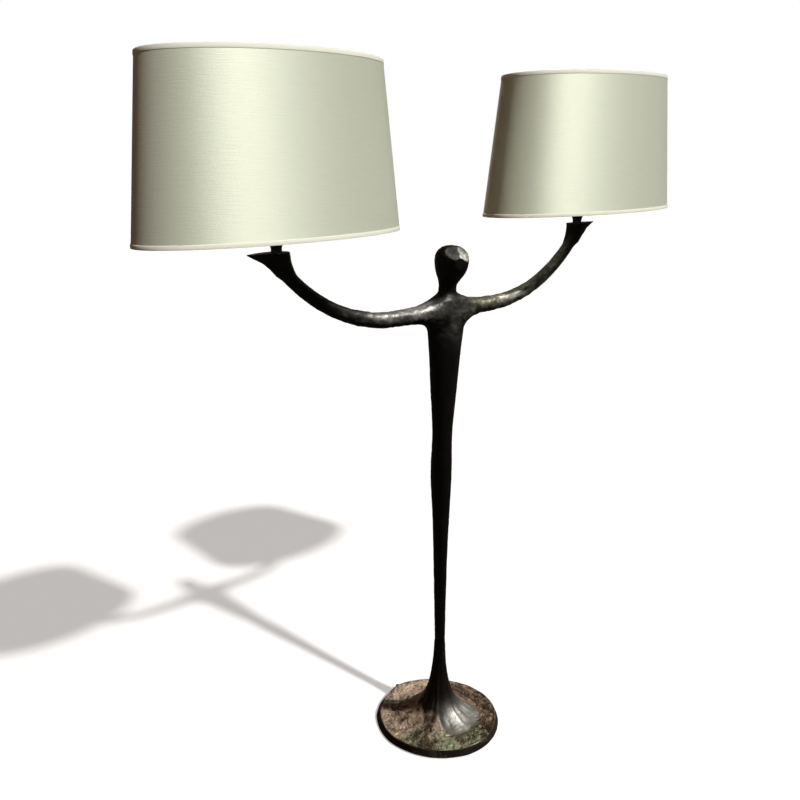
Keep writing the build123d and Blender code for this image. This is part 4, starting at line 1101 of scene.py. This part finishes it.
class ShadeShape:
    """One shade's outside, read from its CAD panel: a tapered oval about the lampholder's axis."""

    def __init__(self, side):
        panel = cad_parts[side + "_shade_panel"].data
        points = np.zeros(len(panel.vertices) * 3)
        panel.vertices.foreach_get("co", points)
        points = points.reshape(-1, 3) / MM
        self.axis = np.array([SIDES[side] * HOLDER_X, 0.0])
        self.floor, self.top = points[:, 2].min(), points[:, 2].max()
        flat = points[:, :2] - self.axis
        xx, yy, xy = np.mean(flat[:, 0] ** 2), np.mean(flat[:, 1] ** 2), np.mean(flat[:, 0] * flat[:, 1])
        self.turn = 0.5 * math.atan2(2 * xy, xx - yy)
        along = flat @ np.array([math.cos(self.turn), math.sin(self.turn)])
        across = flat @ np.array([-math.sin(self.turn), math.cos(self.turn)])
        low = np.abs(points[:, 2] - self.floor) < PANEL_LEVEL
        high = np.abs(points[:, 2] - self.top) < PANEL_LEVEL
        self.half_length = np.abs(along[low]).max(), np.abs(along[high]).max()
        self.half_width = np.abs(across[low]).max(), np.abs(across[high]).max()

    def surface(self, angle, z, outset):
        """Points at oval angles and heights, moved outwards by an outset along each half axis."""
        share = (z - self.floor) / (self.top - self.floor)
        length = self.half_length[0] + (self.half_length[1] - self.half_length[0]) * share + outset
        width = self.half_width[0] + (self.half_width[1] - self.half_width[0]) * share + outset
        along, across = length * np.cos(angle), width * np.sin(angle)
        x = self.axis[0] + along * math.cos(self.turn) - across * math.sin(self.turn)
        y = self.axis[1] + along * math.sin(self.turn) + across * math.cos(self.turn)
        return np.stack([x, y, z * np.ones_like(angle)], axis=-1)

    def band(self, name, profile):
        """Closed band: a profile of (outset, height) rows carried round the oval, with UV in metres."""
        angle = np.linspace(0, 2 * np.pi, PANEL_COLUMNS, endpoint=False)
        outset, height = np.asarray(profile, float).T
        points = self.surface(angle[None, :], height[:, None], outset[:, None])
        faces = grid_faces(len(height), PANEL_COLUMNS, True)
        mesh = new_mesh(name, points.reshape(-1, 3), faces)
        ring = self.surface(np.append(angle, 2 * np.pi), self.floor, 0.0)
        rise = running_length(np.stack([outset, height], axis=1))
        set_band_uv(mesh, running_length(ring), np.append(rise, rise[-1] + PANEL_THICKNESS))
        mesh.set_sharp_from_angle(angle=SHARP_ANGLE)
        return mesh


def panel_profile(shape):
    """Wall of the panel: up the outside and down the inside."""
    heights = np.linspace(shape.floor, shape.top, PANEL_ROWS)
    outside = [(0.0, z) for z in heights]
    inside = [(-PANEL_THICKNESS, z) for z in heights[::-1]]
    return outside + inside


def tape_profile(edge, away):
    """Tape folded over a panel's edge: a rounded strip outside, over the edge and back down the inside."""
    out, inner = TRIM_THICKNESS, -PANEL_THICKNESS - TRIM_INSIDE
    rows = [
        (TRIM_GAP, TRIM_WIDTH),
        (out * 0.7, TRIM_WIDTH - TRIM_ROUND[0]),
        (out, TRIM_WIDTH - TRIM_ROUND[1]),
        (out * 1.05, TRIM_WIDTH / 2),
        (out, TRIM_FOLD),
        (out * 0.4, -TRIM_LIFT * 0.8),
        (-PANEL_THICKNESS / 2, -TRIM_LIFT),
        (inner, -TRIM_LIFT * 0.4),
        (inner - TRIM_BULGE, TRIM_WIDTH / 2),
        (-PANEL_THICKNESS - TRIM_GAP, TRIM_WIDTH),
    ]
    rows = [(outset, edge + away * height) for outset, height in rows]
    return rows if away < 0 else rows[::-1]


class LAMP_OT_silk_shades(bpy.types.Operator):
    """Silk panels and edge tapes of both shades"""

    bl_idname = "lamp.silk_shades"
    bl_label = "Silk shades"

    def execute(self, context):
        settings = context.scene.figure_lamp.shade
        silk = silk_material(settings)
        tape = tape_material(settings)
        for side in SIDES:
            shape = ShadeShape(side)
            body = side + "_shade"
            panel_name, top_name, bottom_name = (f"{side}_{piece}" for piece in SHADE_PIECES)
            panel = shape.band(panel_name, panel_profile(shape))
            add_piece(panel, body, "shade_silk", silk, body + "_panel")
            top = shape.band(top_name, tape_profile(shape.top, -1))
            add_piece(top, body, "shade_trim", tape, body + "_top_trim")
            bottom = shape.band(bottom_name, tape_profile(shape.floor, 1))
            add_piece(bottom, body, "shade_trim", tape, body + "_bottom_trim")
        return {"FINISHED"}


def both(*pieces):
    """Names of pieces on the left and on the right."""
    return [f"{side}_{piece}" for side in SIDES for piece in pieces]


def dress(nodes, material):
    """Puts a material on CAD nodes that are shown as they are."""
    for name in nodes:
        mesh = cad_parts[name].data
        mesh.materials.clear()
        mesh.materials.append(material)


def finish(nodes, name, colour, grain, **values):
    """Gives CAD nodes a plain finish."""
    dress(nodes, plain_material(name, colour, grain, **values))


class LAMP_OT_lampholders(bpy.types.Operator):
    """Finishes of the lampholders, their switches and the shade frames"""

    bl_idname = "lamp.lampholders"
    bl_label = "Lampholders and frames"

    def execute(self, context):
        moulded = both("holder_cap", "holder_shell", "shade_ring", "switch_bar")
        finish(moulded, "black_moulding", (0.012, 0.012, 0.013), 0.3, Roughness=0.34)
        finish(both("holder_insert"), "porcelain", (0.84, 0.83, 0.79), 0.05, Roughness=0.18)
        brass = both("nipple", "screw_shell", "centre_contact") + ["earth_tag"]
        finish(brass, "bare_brass", (0.70, 0.52, 0.22), 0.2, Metallic=1.0, Roughness=0.3)
        wires = both("shade_fitter", "shade_top_wire", "shade_bottom_wire")
        finish(wires, "white_frame", (0.78, 0.77, 0.72), 0.06, Roughness=0.4)
        return {"FINISHED"}


class LAMP_OT_bulbs(bpy.types.Operator):
    """Finishes of the bulbs"""

    bl_idname = "lamp.bulbs"
    bl_label = "Bulbs"

    def execute(self, context):
        finish(both("bulb_cap"), "bulb_cap", (0.72, 0.72, 0.73), 0.12, Metallic=1.0, Roughness=0.32)
        finish(both("bulb_stem"), "filament", (0.82, 0.62, 0.25), 0.15, Roughness=0.45)
        glass, _, shader = new_material("clear_glass")
        set_shader(shader, Base_Color=(0.97, 0.98, 0.97, 1.0), Roughness=0.03)
        set_shader(shader, Transmission_Weight=1.0, IOR=1.45)
        dress(both("bulb_glass"), glass)
        return {"FINISHED"}


class LAMP_OT_fittings(bpy.types.Operator):
    """Finishes of the inlet bush, the screws and the wiring"""

    bl_idname = "lamp.fittings"
    bl_label = "Fittings"

    def execute(self, context):
        finish(["inlet_bush"], "inlet_bush", (0.02, 0.02, 0.02), 0.2, Roughness=0.45)
        screws = ["foot_screws", "terminal_screws", "block_screw", "earth_screw"]
        finish(screws, "plated_steel", (0.56, 0.56, 0.57), 0.15, Metallic=1.0, Roughness=0.35)
        grub_screws = ["head_screw", "shoulder_screws"]
        finish(grub_screws, "blackened_steel", (0.03, 0.027, 0.025), 0.3, Metallic=0.8, Roughness=0.4)
        finish(["terminal_block"], "terminal_block", (0.80, 0.79, 0.74), 0.06, Roughness=0.5)
        finish(both("lead"), "lead_sleeve", (0.30, 0.22, 0.12), 0.15, Roughness=0.6)
        return {"FINISHED"}


def floor_material():
    """Pale floor that glows a little to the camera, so that shadows stay light, and is dim to all else."""
    material, tree, shader = new_material("pale_floor")
    seen = node(tree, "LightPath").outputs["Is Camera Ray"]
    tree.links.new(mix(tree, seen, FLOOR_DIM, FLOOR_PALE), shader.inputs["Base Color"])
    tree.links.new(mix(tree, seen, (0.0, 0.0, 0.0), FLOOR_GLOW), shader.inputs["Emission Color"])
    set_shader(shader, Roughness=0.9, Specular_IOR_Level=0.0, Emission_Strength=1.0)
    return material


def aimed(azimuth, elevation):
    """Turn of a sun lamp that shines from an azimuth, from the front rightwards, and an elevation."""
    level = math.cos(elevation)
    towards = Vector((math.sin(azimuth) * level, -math.cos(azimuth) * level, math.sin(elevation)))
    return towards.to_track_quat("Z", "Y").to_euler()


class LAMP_OT_stage(bpy.types.Operator):
    """Pale floor, soft light and the camera"""

    bl_idname = "lamp.stage"
    bl_label = "Stage"

    def execute(self, context):
        settings = context.scene.figure_lamp.stage
        floor = self.add_floor(context)
        self.add_room(context, settings)
        shades = [bpy.data.objects[name] for name in both(*SHADE_PIECES)]
        sun = settings.key_azimuth, settings.key_elevation
        key = self.add_light(context, "key_light", *sun, settings.key_spread, settings.key_strength)
        self.link_light(key, [floor, *shades], "EXCLUDE")
        sun = settings.silk_azimuth, settings.silk_elevation
        silk = self.add_light(context, "silk_light", *sun, settings.key_spread, settings.silk_strength)
        self.link_light(silk, shades, "INCLUDE")
        sun = settings.fill_azimuth, settings.silk_elevation
        fill = self.add_light(context, "fill_light", *sun, settings.key_spread, settings.fill_strength)
        self.link_light(fill, shades, "INCLUDE")
        sun = settings.floor_azimuth, settings.key_elevation
        low = self.add_light(context, "floor_light", *sun, settings.floor_spread, settings.floor_strength)
        self.link_light(low, [floor], "INCLUDE")
        self.add_camera(context)
        context.scene.view_settings.view_transform = "Standard"
        return {"FINISHED"}

    def add_floor(self, context):
        """Level floor that reaches well past the camera's view."""
        mesh = bpy.data.meshes.new("floor")
        signs = ((-1, -1), (1, -1), (1, 1), (-1, 1))
        corners = [(x * FLOOR_REACH, y * FLOOR_REACH, 0) for x, y in signs]
        mesh.from_pydata(corners, [], [(0, 1, 2, 3)])
        mesh.materials.append(floor_material())
        floor = bpy.data.objects.new("floor", mesh)
        context.scene.collection.objects.link(floor)
        return floor

    def add_room(self, context, settings):
        """Even room light, brown from behind on the left, with a white backdrop behind the lamp."""
        world = bpy.data.worlds.new("room")
        world.use_nodes = True
        tree = world.node_tree
        light = tree.nodes["Background"]
        towards = node(tree, "TexCoord").outputs["Generated"]
        left_back = node(tree, "VectorMath", {0: towards, 1: LEFT_BACK}, operation="DOT_PRODUCT")
        colour = mix(tree, ramp(tree, left_back.outputs["Value"], -0.1, 0.6), ROOM_COLOUR, ROOM_BROWN)
        tree.links.new(colour, light.inputs["Color"])
        light.inputs["Strength"].default_value = settings.ambient
        backdrop = node(tree, "Background", {"Color": (1.0, 1.0, 1.0, 1.0), "Strength": 1.0})
        seen = node(tree, "LightPath").outputs["Is Camera Ray"]
        mixed = node(tree, "MixShader", {0: seen, 1: light.outputs[0], 2: backdrop.outputs[0]})
        tree.links.new(mixed.outputs[0], tree.nodes["World Output"].inputs["Surface"])
        context.scene.world = world

    def add_light(self, context, name, azimuth, elevation, spread, strength):
        """One soft sun lamp."""
        lamp = bpy.data.lights.new(name, "SUN")
        lamp.energy = strength
        lamp.angle = spread
        lamp.color = SUN_COLOUR
        light = bpy.data.objects.new(name, lamp)
        light.rotation_euler = aimed(azimuth, elevation)
        context.scene.collection.objects.link(light)
        return light

    def link_light(self, light, pieces, state):
        """Lets a light shine on some pieces alone, or on everything but them."""
        receivers = bpy.data.collections.new(light.name + "_receivers")
        light.light_linking.receiver_collection = receivers
        for piece in pieces:
            receivers.objects.link(piece)
        for entry in receivers.collection_objects:
            entry.light_linking.link_state = state

    def add_camera(self, context):
        """Camera at the photograph's place and lens."""
        lens = bpy.data.cameras.new("camera")
        lens.lens = CAMERA_LENS
        lens.shift_x, lens.shift_y = CAMERA_SHIFT
        camera = bpy.data.objects.new("camera", lens)
        back = CAMERA_RIGHT.cross(CAMERA_UP)
        facing = Matrix((CAMERA_RIGHT, CAMERA_UP, back)).transposed().to_4x4()
        camera.matrix_world = Matrix.Translation(CAMERA_PLACE) @ facing
        context.scene.collection.objects.link(camera)
        context.scene.camera = camera


OPERATORS = [
    LAMP_OT_cast_figure,
    LAMP_OT_rough_base,
    LAMP_OT_silk_shades,
    LAMP_OT_lampholders,
    LAMP_OT_bulbs,
    LAMP_OT_fittings,
    LAMP_OT_stage,
]
SETTINGS = [CastSettings, BaseSettings, ShadeSettings, StageSettings, LampSettings]


class LAMP_PT_panel(bpy.types.Panel):
    """Lists the lamp's operators and settings"""

    bl_idname = "LAMP_PT_panel"
    bl_label = "Bronze figure lamp"
    bl_space_type = "VIEW_3D"
    bl_region_type = "UI"
    bl_category = "Lamp"

    def draw(self, context):
        for operator in OPERATORS:
            self.layout.operator(operator.bl_idname)
        for group in ("cast", "base", "shade", "stage"):
            box = self.layout.box()
            settings = getattr(context.scene.figure_lamp, group)
            for name in settings.bl_rna.properties.keys():
                if name not in ("name", "rna_type"):
                    box.prop(settings, name)


def register():
    """Registers the classes and the scene's settings."""
    for item in SETTINGS + OPERATORS + [LAMP_PT_panel]:
        bpy.utils.register_class(item)
    bpy.types.Scene.figure_lamp = PointerProperty(type=LampSettings)


def unregister():
    """Removes the settings and the classes."""
    del bpy.types.Scene.figure_lamp
    for item in reversed(SETTINGS + OPERATORS + [LAMP_PT_panel]):
        bpy.utils.unregister_class(item)


def main():
    """Builds every piece in order."""
    register()
    bpy.ops.lamp.cast_figure()
    bpy.ops.lamp.rough_base()
    bpy.ops.lamp.silk_shades()
    bpy.ops.lamp.lampholders()
    bpy.ops.lamp.bulbs()
    bpy.ops.lamp.fittings()
    bpy.ops.lamp.stage()


if __name__ == "__main__":
    main()
